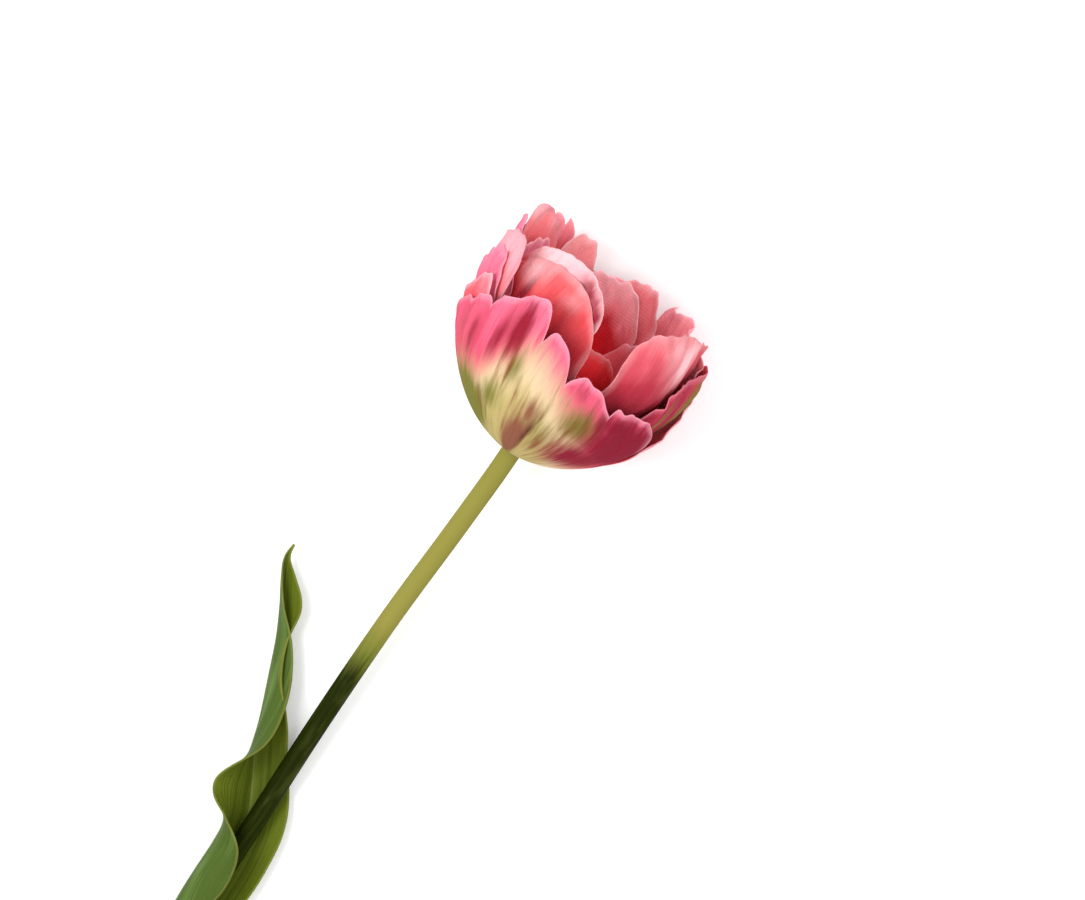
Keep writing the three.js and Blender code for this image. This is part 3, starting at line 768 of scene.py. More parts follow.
def add_node(tree, kind, inputs=None, output=0, stops=(), **settings):
    """Adds a node with its settings, and its inputs' links, values or hex colours. Gives back an output."""
    node = tree.nodes.new(kind)
    for setting, value in settings.items():
        setattr(node, setting, value)
    for name, value in (inputs or {}).items():
        if isinstance(value, bpy.types.NodeSocket):
            tree.links.new(value, node.inputs[name])
        else:
            is_hex = isinstance(value, str) and value.startswith("#")
            node.inputs[name].default_value = (*linear(value), 1) if is_hex else value
    if stops:
        elements = node.color_ramp.elements
        while len(elements) < len(stops):
            elements.new(0.5)
        for element, (place, colour) in zip(elements, stops):
            element.position = place
            element.color = (*linear(colour), 1)
    return node.outputs[output]


def new_material(name):
    """An empty material, its tree and its surface shader."""
    material = bpy.data.materials.new(name)
    material.use_nodes = True
    return material, material.node_tree, material.node_tree.nodes["Principled BSDF"]


def patterned(tree, place, unit, patterns):
    """Noise round zero for each pattern, which has the size of its cells in mm along each axis, and its
    detail. The unit is the length of a mm in the places that are read."""
    sources = {}
    for name, (sizes, detail) in patterns.items():
        cells = [1 / (size * unit) for size in sizes]
        scaled = add_node(tree, "ShaderNodeVectorMath", {0: place, 1: cells}, operation="MULTIPLY")
        noise = add_node(tree, "ShaderNodeTexNoise", {"Vector": scaled, "Scale": 1.0, "Detail": detail})
        sources[name] = add_node(tree, "ShaderNodeMath", {0: noise, 1: 0.5}, operation="SUBTRACT")
    return sources


def coated(tree, colour, sources, coats):
    """Lays coats on a colour. A coat has its source, how far the streaks move it, the values at which it
    begins and is full, its strength and its tone."""
    for source, waver, begins, full, strength, tone in coats:
        moved = {0: sources["streaks"], 1: waver, 2: sources[source]}
        value = add_node(tree, "ShaderNodeMath", moved, operation="MULTIPLY_ADD")
        eased = {"Value": value, "From Min": begins, "From Max": full, "To Max": strength}
        share = add_node(tree, "ShaderNodeMapRange", eased, interpolation_type="SMOOTHSTEP")
        colour = add_node(tree, "ShaderNodeMix", {0: share, 6: colour, 7: tone}, 2, data_type="RGBA")
    return colour


BUMP_STRENGTH = 0.6  # of every relief


def surfaced(tree, surface, colour, height, depth, values):
    """Gives a surface its colour, a relief of a height by a depth in mm, and values for its other sockets."""
    bump = {"Height": height, "Strength": BUMP_STRENGTH, "Distance": depth * MM}
    tree.links.new(colour, surface.inputs["Base Color"])
    tree.links.new(add_node(tree, "ShaderNodeBump", bump), surface.inputs["Normal"])
    for name, value in values.items():
        surface.inputs[name].default_value = value


# ---- Petal finishes -----------------------------------------------------------------------------

# A petal's tones:
#   outside, inside  from its root to its tip on its two faces, each at a share of the length
#   deep, margin     of its veins and of the painted shade in the valleys of its folds, and of its margin
#   claw             where its pale claw ends, as shares of the length at even steps from left to right
#   streaky          how much the dye runs in streaks
PINK = {
    "outside": [(0.2, "#c04356"), (0.5, "#cf4d64"), (0.75, "#da5d78"), (1.0, "#e37691")],
    "inside": [(0.2, "#a81824"), (0.5, "#c8384a"), (0.8, "#e86a80"), (1.0, "#f78aa0")],
    "deep": "#a0253f", "margin": "#e395a8", "claw": [0.34, 0.38, 0.34], "streaky": 0.22,
}
SHELL = {
    "outside": [(0.2, "#962d3f"), (0.5, "#ae4557"), (0.75, "#bc5e6d"), (1.0, "#bc7b85")],
    "inside": [(0.2, "#cc3444"), (0.5, "#f87480"), (0.75, "#ffaab2"), (1.0, "#ffd6da")],
    "deep": "#ab3a49", "margin": "#ca9199", "claw": [0.2, 0.24, 0.2], "streaky": 0.16,
}
CORAL = {
    "outside": [(0.35, "#9a151e"), (0.6, "#a8222b"), (0.8, "#c9383d"), (0.93, "#e36266"), (1.0, "#ea8f94")],
    "inside": [(0.3, "#85141e"), (0.55, "#94222d"), (0.8, "#a12f3a"), (0.95, "#ad3f4a"), (1.0, "#b45761")],
    "deep": "#921520", "margin": "#dc9296", "claw": [0.08, 0.1, 0.08], "streaky": 0.07,
}
PALE = {
    "outside": [(0.35, "#ab2432"), (0.6, "#c94655"), (0.8, "#dd7380"), (1.0, "#eda7b1")],
    "inside": [(0.3, "#dc1014"), (0.55, "#e01c26"), (0.72, "#d22c38"), (0.85, "#ff8e98"), (1.0, "#ffb0b8")],
    "deep": "#e25864", "margin": "#ffc6cc", "claw": [0.08, 0.1, 0.08], "streaky": 0.07,
}
ROSE = {
    "outside": [(0.25, "#bb3a50"), (0.5, "#d14e64"), (0.8, "#e3667c"), (1.0, "#e78296")],
    "inside": [(0.3, "#c42430"), (0.55, "#e64c58"), (0.8, "#fb7480"), (1.0, "#ff9ca6")],
    "deep": "#cc3c4c", "margin": "#ffb4be", "claw": [0.25, 0.3, 0.25], "streaky": 0.16,
}
FLAME = {
    "outside": [(0.2, "#701c2c"), (0.5, "#8c1c30"), (0.8, "#a82840"), (1.0, "#c04458")],
    "inside": [(0.3, "#cc2c3a"), (0.6, "#dc3c4a"), (0.85, "#e44c5a"), (1.0, "#e86876")],
    "deep": "#78203a", "margin": "#d8788a", "claw": [0.3, 0.34, 0.3], "streaky": 0.22,
}
TONES = {
    "petal_heart_front": {**CORAL, "outside": [(0.3, "#c81420"), (0.7, "#f02e36"), (1.0, "#fa484e")]},
    "petal_inner_right": {
        **CORAL,
        "outside": [
            (0.3, "#981824"), (0.55, "#ac2c3c"), (0.75, "#ac3242"), (0.92, "#d05864"), (1.0, "#dc7880"),
        ],
    },
    "petal_right_back": ROSE,
    "petal_rim": PALE,
    "petal_heart_back": PALE,
    "petal_hood": CORAL,
    "petal_left_tip": {**ROSE, "inside": [(0.4, "#d04458"), (0.7, "#ec6480"), (1.0, "#f88ea6")]},
    "petal_back_thin": {**PALE, "inside": [(0.4, "#d02834"), (0.7, "#f0606c"), (1.0, "#f8929a")]},
    "petal_back_round": {**PALE, "inside": [(0.4, "#d84450"), (0.7, "#ee787e"), (1.0, "#fca4a6")]},
    "petal_left_pale": {
        **SHELL,
        "outside": [(0.4, "#e0505e"), (0.7, "#f27c88"), (1.0, "#fa9ea8")],
        "deep": "#d8626c",
    },
    "petal_peak": {
        **SHELL,
        "inside": [(0.4, "#e84450"), (0.7, "#ff727a"), (0.9, "#ff8c92"), (1.0, "#ffb2b6")],
        "deep": "#e4606a",
    },
    "petal_right_outer": ROSE,
    "petal_left_middle": PINK,
    "petal_peak_crinkled": ROSE,
    "petal_left_low": {**ROSE, "outside": [(0.5, "#d02c38"), (0.8, "#ea4450"), (1.0, "#f87884")]},
    "petal_right_flame": FLAME,
    "petal_under_right": ROSE,
    "petal_under_left": PINK,
    "petal_under_middle": PINK,
    "petal_front": {
        **PINK,
        "claw": [
            0.22, 0.24, 0.3, 0.36, 0.42, 0.44, 0.5, 0.66, 0.74, 0.76, 0.7, 0.6, 0.55, 0.42, 0.3, 0.26, 0.24,
        ],
    },
}

# Tones of the marks below: dye stains, painted light and painted shade
STAIN_AND_PAINTED_LIGHT_TONES = {
    "green": "#6d6c2c", "fawn": "#81513c", "umber": "#47201b", "painted_shade": "#891d2e", "wine_and_shade": "#80182d",
    "painted_light": "#f2444c", "pale": "#f2bcc0",
}
# Marks on a petal: the tone, the place across, from -1 to 1, the share of the length, how far the mark
# reaches across and along the petal in mm, and how strong it is in the middle. Green and fawn are dye, and
# umber is a thin dark line. Wine is dye, partly painted shade on the front petal's darker right. The bright
# red is painted light in shaded pockets, and the dark rose is painted shade in dents, fold valleys and on
# sides turned from the light. Pale is a pale patch, and on the hood and the rim a painted highlight.
STAINS_AND_PAINTED_LIGHT = {
    "petal_front": [
        ("green", -0.4, 0.3, 13, 13, 1.6),
        ("green", -0.6, 0.34, 6, 8, 0.9),
        ("green", -0.12, 0.44, 5, 8, 0.8),
        ("green", -0.02, 0.64, 3, 8, 0.9),
        ("green", 0.5, 0.56, 8, 9, 1.0),
        ("wine_and_shade", 0.6, 0.6, 3, 9, 0.8),
        ("fawn", 0.05, 0.03, 12, 6, 1.2),
        ("fawn", 0.16, 0.26, 5.5, 18, 1.5),
        ("fawn", 0.19, 0.5, 3, 9, 0.9),
        ("umber", 0.25, 0.36, 1.1, 12, 0.9),
        # wine dye, partly painted shade: the front petal's right is darker, turned from the light
        ("wine_and_shade", 0.92, 0.52, 21, 16, 1.35),
        ("wine_and_shade", 0.66, 0.36, 17, 12, 1.0),
        ("wine_and_shade", 0.72, 0.63, 9, 8, 1.0),
        ("green", 0.34, 0.4, 10, 11, 0.6),
        ("wine_and_shade", 0.42, 0.72, 3, 5, 0.5),
        # painted shade in the valleys of the front petal's folds
        ("painted_shade", -0.1, 0.78, 4, 14, 1.1),
        ("painted_shade", -0.22, 0.7, 2.4, 12, 0.8),
        ("painted_shade", -0.42, 0.62, 2.5, 12, 0.5),
        ("painted_shade", 0.3, 0.8, 2.5, 6, 0.4),
    ],
    "petal_hood": [
        # painted highlight: pale patches on the top of the hood
        ("pale", -0.2, 0.92, 8, 6, 0.9),
        ("pale", 0.5, 0.94, 5, 4, 0.4),
        # painted light: brightens the hood's left, which lies in the shade of the pale left petal
        ("painted_light", -0.45, 0.84, 9, 13, 1.0),
        ("painted_light", -0.8, 0.86, 9, 12, 1.3),
        # painted shade in the hood's dent, and on its lower right, turned from the light
        ("painted_shade", -0.03, 0.83, 2.0, 7, 1.6),
        ("painted_shade", 0.7, 0.6, 10, 20, 0.9),
    ],
    "petal_rim": [
        # painted light on the rim's left, in the same shaded pocket
        ("painted_light", -0.75, 0.8, 8, 14, 1.3),
        # painted highlight on the rim's top left
        ("pale", -0.3, 0.97, 18, 10, 1.6),
        # painted shade on the rim's right, turned from the light
        ("painted_shade", 0.64, 0.97, 7, 12, 0.9),
        ("painted_shade", 0.9, 0.85, 7, 24, 0.9),
    ],
    "petal_inner_right": [("pale", -0.1, 0.93, 7, 12, 1.0), ("pale", -0.42, 0.98, 4, 12, 0.5)],
    "petal_right_flame": [
        ("green", -0.1, 0.8, 3, 15, 1.0),
        ("green", -0.45, 0.7, 2, 12, 0.8),
        ("pale", 0.3, 0.84, 3, 12, 0.5),
    ],
    # painted light near the top of the left low petal
    "petal_left_low": [("painted_light", 0.6, 0.8, 8, 8, 0.8)],
}

PETAL_PATTERNS = {  # the third axis sets one petal apart from the next
    "streaks": ((2, 20, 1), 3),
    "veins": ((0.667, 20, 1), 2),
    "drift": ((10, 20, 1), 1),
    "grain": ((0.25, 0.25, 1), 1),
}
PETAL_APART = 10.0
RIB_PITCH = 1.1  # mm, of the fine crosswise ribs, which are drawn coarser than the real 0.3 mm to show
BAND_SCALE = math.pi / 10  # of a band texture whose bands are one unit apart
DRIFT = 0.35  # share of the length over which a petal's tones drift up and down
RIBS, VEINS = 0.25, 1.5  # height of the ribs and of the veins, where the grain's is 1
PETAL_RELIEF = 0.3  # mm, for a height of 1
PETAL_SURFACE = {
    "Roughness": 0.8, "Specular IOR Level": 0.03, "Sheen Weight": 0.006, "Sheen Roughness": 0.5,
    "Subsurface Weight": 0.08, "Subsurface Scale": 0.001, "Subsurface Radius": (1.0, 0.35, 0.3),
}
PLAIN_BELOW = (0.3, 0.6)  # shares of the length between which the margin's tone sets in
MARGIN_FADE = 8  # mm, by which the margin counts as further off below them
# the tone that sets in between these shares is painted shade in the valleys of the folds
FOLDED_FROM, FOLDED_FULL = 0.25, 0.7  # shares of the length between which the folds' tone sets in
RIM_BLEND = 0.3  # how far each way from the rim's middle the faces' tones blend, a face being 1 away


def petal_fields(petal):
    """What a petal's finish reads at each point of it: places and distances in mm, and shares."""
    u, share = petal["u"], petal["share"]
    x, y = u * petal["width"] / 2, share * petal["length"]
    claw = along(TONES[petal["name"]]["claw"], (u + 1) / 2)
    fields = {
        "place": np.stack(np.broadcast_arrays(x, y, PETAL_APART * petal["seed"]), -1),
        "share": share,
        "margin": petal["margin"] + MARGIN_FADE * (1 - smooth_step(share, *PLAIN_BELOW)),
        # the folds, whose valleys take painted shade
        "fold": pleat_at(petal, u) * smooth_step(share, FOLDED_FROM, FOLDED_FULL),
        "claw": (claw - share) * petal["length"],
    }
    for mark, *place, strength in STAINS_AND_PAINTED_LIGHT.get(petal["name"], []):
        fields[mark] = np.maximum(fields.get(mark, 0), strength * spot(petal, u, share, *place))
    return fields


def petal_finish(petal, fields, colours):
    """Petal tissue: thin, soft and matt with hardly any nap, so that it takes light without a shine and a
    little of it sinks in. Veins and streaks of dye run up from a pale claw, over fine crosswise ribs. The
    valleys of the folds get painted shade, and some petals carry marks of painted light and painted shade."""
    tones = TONES[petal["name"]]
    streaky = tones["streaky"]
    material, tree, surface = new_material(petal["name"] + "_tissue")
    place = add_node(tree, "ShaderNodeAttribute", output="Vector", attribute_name="place")
    sources = patterned(tree, place, 1, PETAL_PATTERNS)
    for field in ["side", *fields]:
        if field != "place":
            sources[field] = add_node(tree, "ShaderNodeAttribute", output="Fac", attribute_name=field)

    height = sources["share"]
    for pattern, strength in (("drift", DRIFT), ("streaks", streaky)):
        moved = {0: sources[pattern], 1: strength, 2: height}
        height = add_node(tree, "ShaderNodeMath", moved, operation="MULTIPLY_ADD")
    inner = add_node(tree, "ShaderNodeValToRGB", {"Fac": height}, stops=tones["inside"])
    outer = add_node(tree, "ShaderNodeValToRGB", {"Fac": height}, stops=tones["outside"])
    outward = {"Value": sources["side"], "From Min": -RIM_BLEND, "From Max": RIM_BLEND}
    outside = add_node(tree, "ShaderNodeMapRange", outward, interpolation_type="SMOOTHSTEP")
    colour = add_node(tree, "ShaderNodeMix", {0: outside, 6: inner, 7: outer}, 2, data_type="RGBA")
    petal_marks = [mark for mark in STAIN_AND_PAINTED_LIGHT_TONES if mark in fields]
    coats = [
        # painted shade: darkens the valleys of the folds
        ("fold", 1.2, -0.1, -1.0, 1.5 * streaky, tones["deep"]),
        ("veins", 0, 0.03, 0.16, 0.08 + streaky, tones["deep"]),
        ("claw", 19, -11, 11, 1.0, (*colours.claw, 1)),
        ("claw", 18, 4, 26, 0.8, (*colours.claw_root, 1)),
        # the marks: dye stains, painted light and painted shade
        *((mark, 4.5 * streaky, 0.0, 1.0, 1.0, STAIN_AND_PAINTED_LIGHT_TONES[mark]) for mark in petal_marks),
        ("margin", 3, 3.2, 0.2, 0.45, tones["margin"]),
        ("margin", 0, 0.35, 0.2, 0.6, tones["margin"]),
        ("grain", 0, 0.1, 0.3, 0.25, tones["deep"]),
    ]
    colour = coated(tree, colour, sources, coats)

    bands = {"Vector": place, "Scale": BAND_SCALE / RIB_PITCH, "Distortion": 1.5, "Detail": 1.0}
    ribs = add_node(tree, "ShaderNodeTexWave", bands, 1, wave_type="BANDS", bands_direction="Y")
    relief_height = sources["grain"]
    for pattern, strength in ((ribs, RIBS), (sources["veins"], VEINS)):
        raised = {0: pattern, 1: strength, 2: relief_height}
        relief_height = add_node(tree, "ShaderNodeMath", raised, operation="MULTIPLY_ADD")
    surfaced(tree, surface, colour, relief_height, PETAL_RELIEF, PETAL_SURFACE)
    return material


def fringe_finish(colours):
    """Loose fibres at a petal's margin: pale and matt, with light that sinks in, so that they look soft."""
    material, tree, surface = new_material("petal_fibre")
    place = add_node(tree, "ShaderNodeTexCoord", output="Object")
    sources = patterned(tree, place, MM, {"streaks": ((2.5, 2.5, 2.5), 1)})
    coats = [("streaks", 0, -0.1, 0.2, 0.8, "#ffd8de")]
    colour = coated(tree, (*colours.fringe, 1), sources, coats)
    values = {
        "Roughness": 0.8, "Specular IOR Level": 0.2,
        "Subsurface Weight": 0.2, "Subsurface Scale": 0.0005,
    }
    surfaced(tree, surface, colour, sources["streaks"], 0.02, values)
    return material


# ---- Leaf, stem and heart finishes --------------------------------------------------------------


def leaf_finish(colours):
    """Fresh tulip leaf: a waxy skin that spreads what light it returns, grey-green outside and olive inside,
    with veins that run side by side from sheath to tip, a thin yellowed margin and broad pale patches of
    painted sheen."""
    material, tree, surface = new_material("leaf_cuticle")
    place = add_node(tree, "ShaderNodeAttribute", output="Vector", attribute_name="place")
    patterns = {
        "streaks": ((3.57, 83.3, 1), 2),
        "veins": ((0.909, 100, 1), 2),
        "drift": ((12.5, 33.3, 1), 2),
    }
    sources = patterned(tree, place, 1, patterns)
    for field in ("side", "margin", "rib"):
        sources[field] = add_node(tree, "ShaderNodeAttribute", output="Fac", attribute_name=field)
    coats = [
        ("streaks", 0, -0.02, 0.2, 0.35, "#64803f"),
        # painted sheen: broad pale patches that stand in for the light off the wax
        ("drift", 0.5, 0.05, 0.3, 0.3, "#779456"),
        ("side", 0, -0.2, 0.2, 1.0, (*colours.leaf_inside, 1)),
        ("streaks", 0, 0.0, -0.2, 0.45, "#39470e"),
        ("veins", 0, 0.02, 0.18, 0.4, "#323f0d"),
        ("rib", 0, 1.6, 0.2, 0.35, "#8d9a55"),
        ("margin", 0.5, 0.7, 0.2, 0.35, "#817e3a"),
    ]
    colour = coated(tree, (*colours.leaf_outside, 1), sources, coats)
    values = {
        "Roughness": 0.5, "Specular IOR Level": 0.03,
        "Subsurface Weight": 0.05, "Subsurface Scale": 0.001,
    }
    surfaced(tree, surface, colour, sources["veins"], 0.5, values)
    return material


STEM_TURNS_GREEN = -82.5  # mm along the stem, where its pale top gives way to the dark part below


def stem_finish(colours):
    """Fresh tulip stem: smooth, waxy skin with no clear gloss, pale yellow-green below the bloom and dark
    green lower down, with faint lengthwise streaks."""
    material, tree, surface = new_material("stem_cuticle")
    place = add_node(tree, "ShaderNodeTexCoord", output="Object")
    patterns = {"streaks": ((1.11, 40, 1.11), 3), "mottle": ((3.85, 16.7, 3.85), 2)}
    sources = patterned(tree, place, MM, patterns)
    sources["up"] = add_node(tree, "ShaderNodeSeparateXYZ", {0: place}, "Y")
    turns = (STEM_TURNS_GREEN + DRAWING_ORIGIN[1]) * MM
    coats = [
        ("streaks", 0, -0.05, 0.2, 0.4, "#2b3708"),
        ("up", 0.01, turns - 0.012, turns + 0.003, 0.85, "#6c712c"),
        ("up", 0.008, turns - 0.003, turns + 0.014, 1.0, (*colours.stem_top, 1)),
        ("mottle", 0, 0.0, 0.2, 0.1, "#7d8440"),
    ]
    colour = coated(tree, (*colours.stem_foot, 1), sources, coats)
    values = {
        "Roughness": 0.5, "Specular IOR Level": 0.02,
        "Subsurface Weight": 0.05, "Subsurface Scale": 0.0015,
    }
    surfaced(tree, surface, colour, sources["streaks"], 0.15, values)
    return material


BUNDLE_PITCH = 0.769  # mm, from one bundle to the next


def pith_finish(colours):
    """The stem's cut end: wet, pale pith, spongy, with the dark dots of the bundles that carry the sap."""
    material, tree, surface = new_material("stem_pith")
    place = add_node(tree, "ShaderNodeTexCoord", output="Object")
    sources = patterned(tree, place, MM, {"streaks": ((0.667, 0.667, 0.667), 2)})
    bundles = {"Vector": place, "Scale": 1 / (BUNDLE_PITCH * MM)}
    sources["bundles"] = add_node(tree, "ShaderNodeTexVoronoi", bundles, "Distance")
    coats = [
        ("streaks", 0, -0.1, 0.2, 0.5, "#dfe0b0"),
        ("bundles", 0, 0.28, 0.12, 0.5, "#7c8a3c"),
    ]
    colour = coated(tree, (*colours.pith, 1), sources, coats)
    values = {"Roughness": 0.35, "Subsurface Weight": 0.15, "Subsurface Scale": 0.001}
    surfaced(tree, surface, colour, sources["streaks"], 0.2, values)
    return material


def heart_finish(name, tone, dust):
    """Pistil or stamen: matt, fleshy tissue under a dusting of pollen, whose grains are drawn coarser than
    the real ones of 0.05 mm to show."""
    material, tree, surface = new_material(name)
    place = add_node(tree, "ShaderNodeTexCoord", output="Object")
    patterns = {"streaks": ((3.33, 8.33, 3.33), 2), "pollen": ((0.4, 0.4, 0.4), 3)}
    sources = patterned(tree, place, MM, patterns)
    coats = [("streaks", 0, -0.1, 0.2, 0.4, dust), ("pollen", 0, 0.02, 0.12, 0.8, dust)]
    colour = coated(tree, tone, sources, coats)
    surfaced(tree, surface, colour, sources["pollen"], 0.2, {"Roughness": 0.8, "Specular IOR Level": 0.25})
    return material


# ---- Geometry Nodes -----------------------------------------------------------------------------


def new_tree(name, inputs):
    """A geometry tree with named inputs, each a socket kind and a default."""
    tree = bpy.data.node_groups.new(name, "GeometryNodeTree")
    tree.interface.new_socket("Geometry", in_out="INPUT", socket_type="NodeSocketGeometry")
    for label, (kind, default) in inputs.items():
        socket = tree.interface.new_socket(label, in_out="INPUT", socket_type="NodeSocket" + kind)
        if default is not None:
            socket.default_value = default
    tree.interface.new_socket("Geometry", in_out="OUTPUT", socket_type="NodeSocketGeometry")
    return tree, tree.nodes.new("NodeGroupInput").outputs


def finish_tree(tree, geometry, material):
    """Ends a tree: copies made real, smooth, and in their material."""
    real = add_node(tree, "GeometryNodeRealizeInstances", {"Geometry": geometry})
    smooth = add_node(tree, "GeometryNodeSetShadeSmooth", {"Geometry": real})
    coated_mesh = add_node(tree, "GeometryNodeSetMaterial", {"Geometry": smooth, "Material": material})
    tree.links.new(coated_mesh, tree.nodes.new("NodeGroupOutput").inputs[0])
    return tree


def grown(source, tree, values):
    """The plain mesh that a tree makes of an object, which is then removed."""
    modifier = source.modifiers.new("grown", "NODES")
    modifier.node_group = tree
    for item in tree.interface.items_tree:
        if item.item_type == "SOCKET" and item.in_out == "INPUT" and item.name in values:
            modifier[item.identifier] = values[item.name]
    bpy.context.view_layer.update()
    evaluated = source.evaluated_get(bpy.context.evaluated_depsgraph_get())
    mesh = bpy.data.meshes.new_from_object(evaluated)
    source.modifiers.remove(modifier)
    bpy.data.objects.remove(source)
    return mesh


def line_object(name, points, radii):
    """A curve through points in mm, each with a radius in mm."""
    curve = bpy.data.curves.new(name, "CURVE")
    curve.dimensions = "3D"
    spline = curve.splines.new("POLY")
    spline.points.add(len(points) - 1)
    for knot, point, radius in zip(spline.points, points, radii):
        knot.co = (*(np.asarray(point) * MM), 1)
        knot.radius = radius * MM
    return scene_object(name, curve)


def stalk_tree():
    """Sweeps a round or lobed section along a line, as thick as the line's radius says."""
    inputs = {
        "Sides": ("Int", 32), "Lobes": ("Int", 3), "Lobe depth": ("Float", 0.0),
        "Material": ("Material", None),
    }
    tree, given = new_tree("stalk", inputs)
    circle = add_node(tree, "GeometryNodeCurvePrimitiveCircle", {"Resolution": given["Sides"], "Radius": 1.0})
    turn = {0: add_node(tree, "GeometryNodeSplineParameter", output="Factor"), 1: given["Lobes"]}
    turns = add_node(tree, "ShaderNodeMath", turn, operation="MULTIPLY")
    angle = add_node(tree, "ShaderNodeMath", {0: turns, 1: 2 * math.pi}, operation="MULTIPLY")
    wave = add_node(tree, "ShaderNodeMath", {0: angle}, operation="COSINE")
    swelling = {0: wave, 1: given["Lobe depth"], 2: 1.0}
    swell = add_node(tree, "ShaderNodeMath", swelling, operation="MULTIPLY_ADD")
    lobe = {0: add_node(tree, "GeometryNodeInputPosition"), "Scale": swell}
    lobed = add_node(tree, "ShaderNodeVectorMath", lobe, operation="SCALE")
    section = add_node(tree, "GeometryNodeSetPosition", {"Geometry": circle, "Position": lobed})
    sweep = {
        "Curve": given["Geometry"], "Profile Curve": section, "Fill Caps": True,
        "Scale": add_node(tree, "GeometryNodeInputRadius"),
    }
    return finish_tree(tree, add_node(tree, "GeometryNodeCurveToMesh", sweep), given["Material"])


def ring_tree():
    """Sweeps stalks along copies of a line that stands on the origin along +Z, set in a ring round it, each
    leaning outwards."""
    inputs = {
        "Count": ("Int", 6), "Radius": ("Float", 0.002), "Lean": ("Float", 0.2), "Sides": ("Int", 12),
        "Material": ("Material", None),
    }
    tree, given = new_tree("ring", inputs)
    circle = add_node(tree, "GeometryNodeCurvePrimitiveCircle", {"Resolution": given["Sides"], "Radius": 1.0})
    radius = add_node(tree, "GeometryNodeInputRadius")
    sweep = {"Curve": given["Geometry"], "Profile Curve": circle, "Scale": radius, "Fill Caps": True}
    stalk = add_node(tree, "GeometryNodeCurveToMesh", sweep)
    ring = add_node(tree, "GeometryNodeMeshCircle", {"Vertices": given["Count"], "Radius": given["Radius"]})
    step = add_node(tree, "ShaderNodeMath", {0: 2 * math.pi, 1: given["Count"]}, operation="DIVIDE")
    placed = {0: add_node(tree, "GeometryNodeInputIndex"), 1: step}
    turn = add_node(tree, "ShaderNodeMath", placed, operation="MULTIPLY")
    turned = add_node(tree, "ShaderNodeCombineXYZ", {"Y": given["Lean"], "Z": turn})
    rotation = add_node(tree, "FunctionNodeEulerToRotation", {0: turned})
    copies = {"Points": ring, "Instance": stalk, "Rotation": rotation}
    return finish_tree(tree, add_node(tree, "GeometryNodeInstanceOnPoints", copies), given["Material"])


def fringe_tree():
    """Sets a thin fibre on a chosen share of the points it is given, along each point's way, more or less."""
    inputs = {
        "Length": ("Float", 0.0009), "Shortest": ("Float", 0.3), "Sides": ("Int", 3),
        "Thickness": ("Float", 0.00004), "Tip thickness": ("Float", 0.00001),
        "Share": ("Float", 0.5), "Scatter": ("Float", 0.5), "Seed": ("Int", 11),
        "Material": ("Material", None),
    }
    tree, given = new_tree("fringe", inputs)
    shape = {
        "Vertices": given["Sides"], "Depth": given["Length"],
        "Radius Bottom": given["Thickness"], "Radius Top": given["Tip thickness"],
    }
    fibre = add_node(tree, "GeometryNodeMeshCone", shape, fill_type="NONE")
    way = add_node(tree, "GeometryNodeInputNamedAttribute", {"Name": "way"}, data_type="FLOAT_VECTOR")
    loose = {0: (-1, -1, -1), 1: (1, 1, 1), "Seed": given["Seed"]}
    scattered = add_node(tree, "FunctionNodeRandomValue", loose, data_type="FLOAT_VECTOR")
    bent = {0: scattered, "Scale": given["Scatter"]}
    bend = add_node(tree, "ShaderNodeVectorMath", bent, operation="SCALE")
    aim = add_node(tree, "ShaderNodeVectorMath", {0: way, 1: bend}, operation="ADD")
    rotation = add_node(tree, "FunctionNodeAlignRotationToVector", {"Vector": aim}, axis="Z")
    lengths = {2: given["Shortest"], 3: 1.0, "Seed": given["Seed"]}
    size = add_node(tree, "FunctionNodeRandomValue", lengths, 1, data_type="FLOAT")
    chance = {"Probability": given["Share"], "Seed": given["Seed"]}
    chosen = add_node(tree, "FunctionNodeRandomValue", chance, 3, data_type="BOOLEAN")
    copies = {
        "Points": given["Geometry"], "Selection": chosen,
        "Instance": fibre, "Rotation": rotation, "Scale": size,
    }
    return finish_tree(tree, add_node(tree, "GeometryNodeInstanceOnPoints", copies), given["Material"])


# ---- Sizes and colours that a user can change ---------------------------------------------------


class TulipSizes(bpy.types.PropertyGroup):
    """Sizes of the finer pieces"""

    petal_thickness: bpy.props.FloatProperty(
        name="Petal thickness", description="Thickness of a petal's tissue", default=0.0004, unit="LENGTH"
    )
    leaf_thickness: bpy.props.FloatProperty(
        name="Leaf thickness", description="Thickness of the leaf's blade", default=0.0006, unit="LENGTH"
    )
    fringe_length: bpy.props.FloatProperty(
        name="Fringe length", description="Longest of the fibres at the petals' margins", default=0.0009,
        unit="LENGTH",
    )
    stem_sides: bpy.props.IntProperty(
        name="Stem sides", description="Faces round the stem", default=48, min=8
    )


def colour_property(label, description, colour):
    """A colour that a user can change, with its default in hex."""
    return bpy.props.FloatVectorProperty(
        name=label, description=description, subtype="COLOR", min=0, max=1, default=linear(colour)
    )


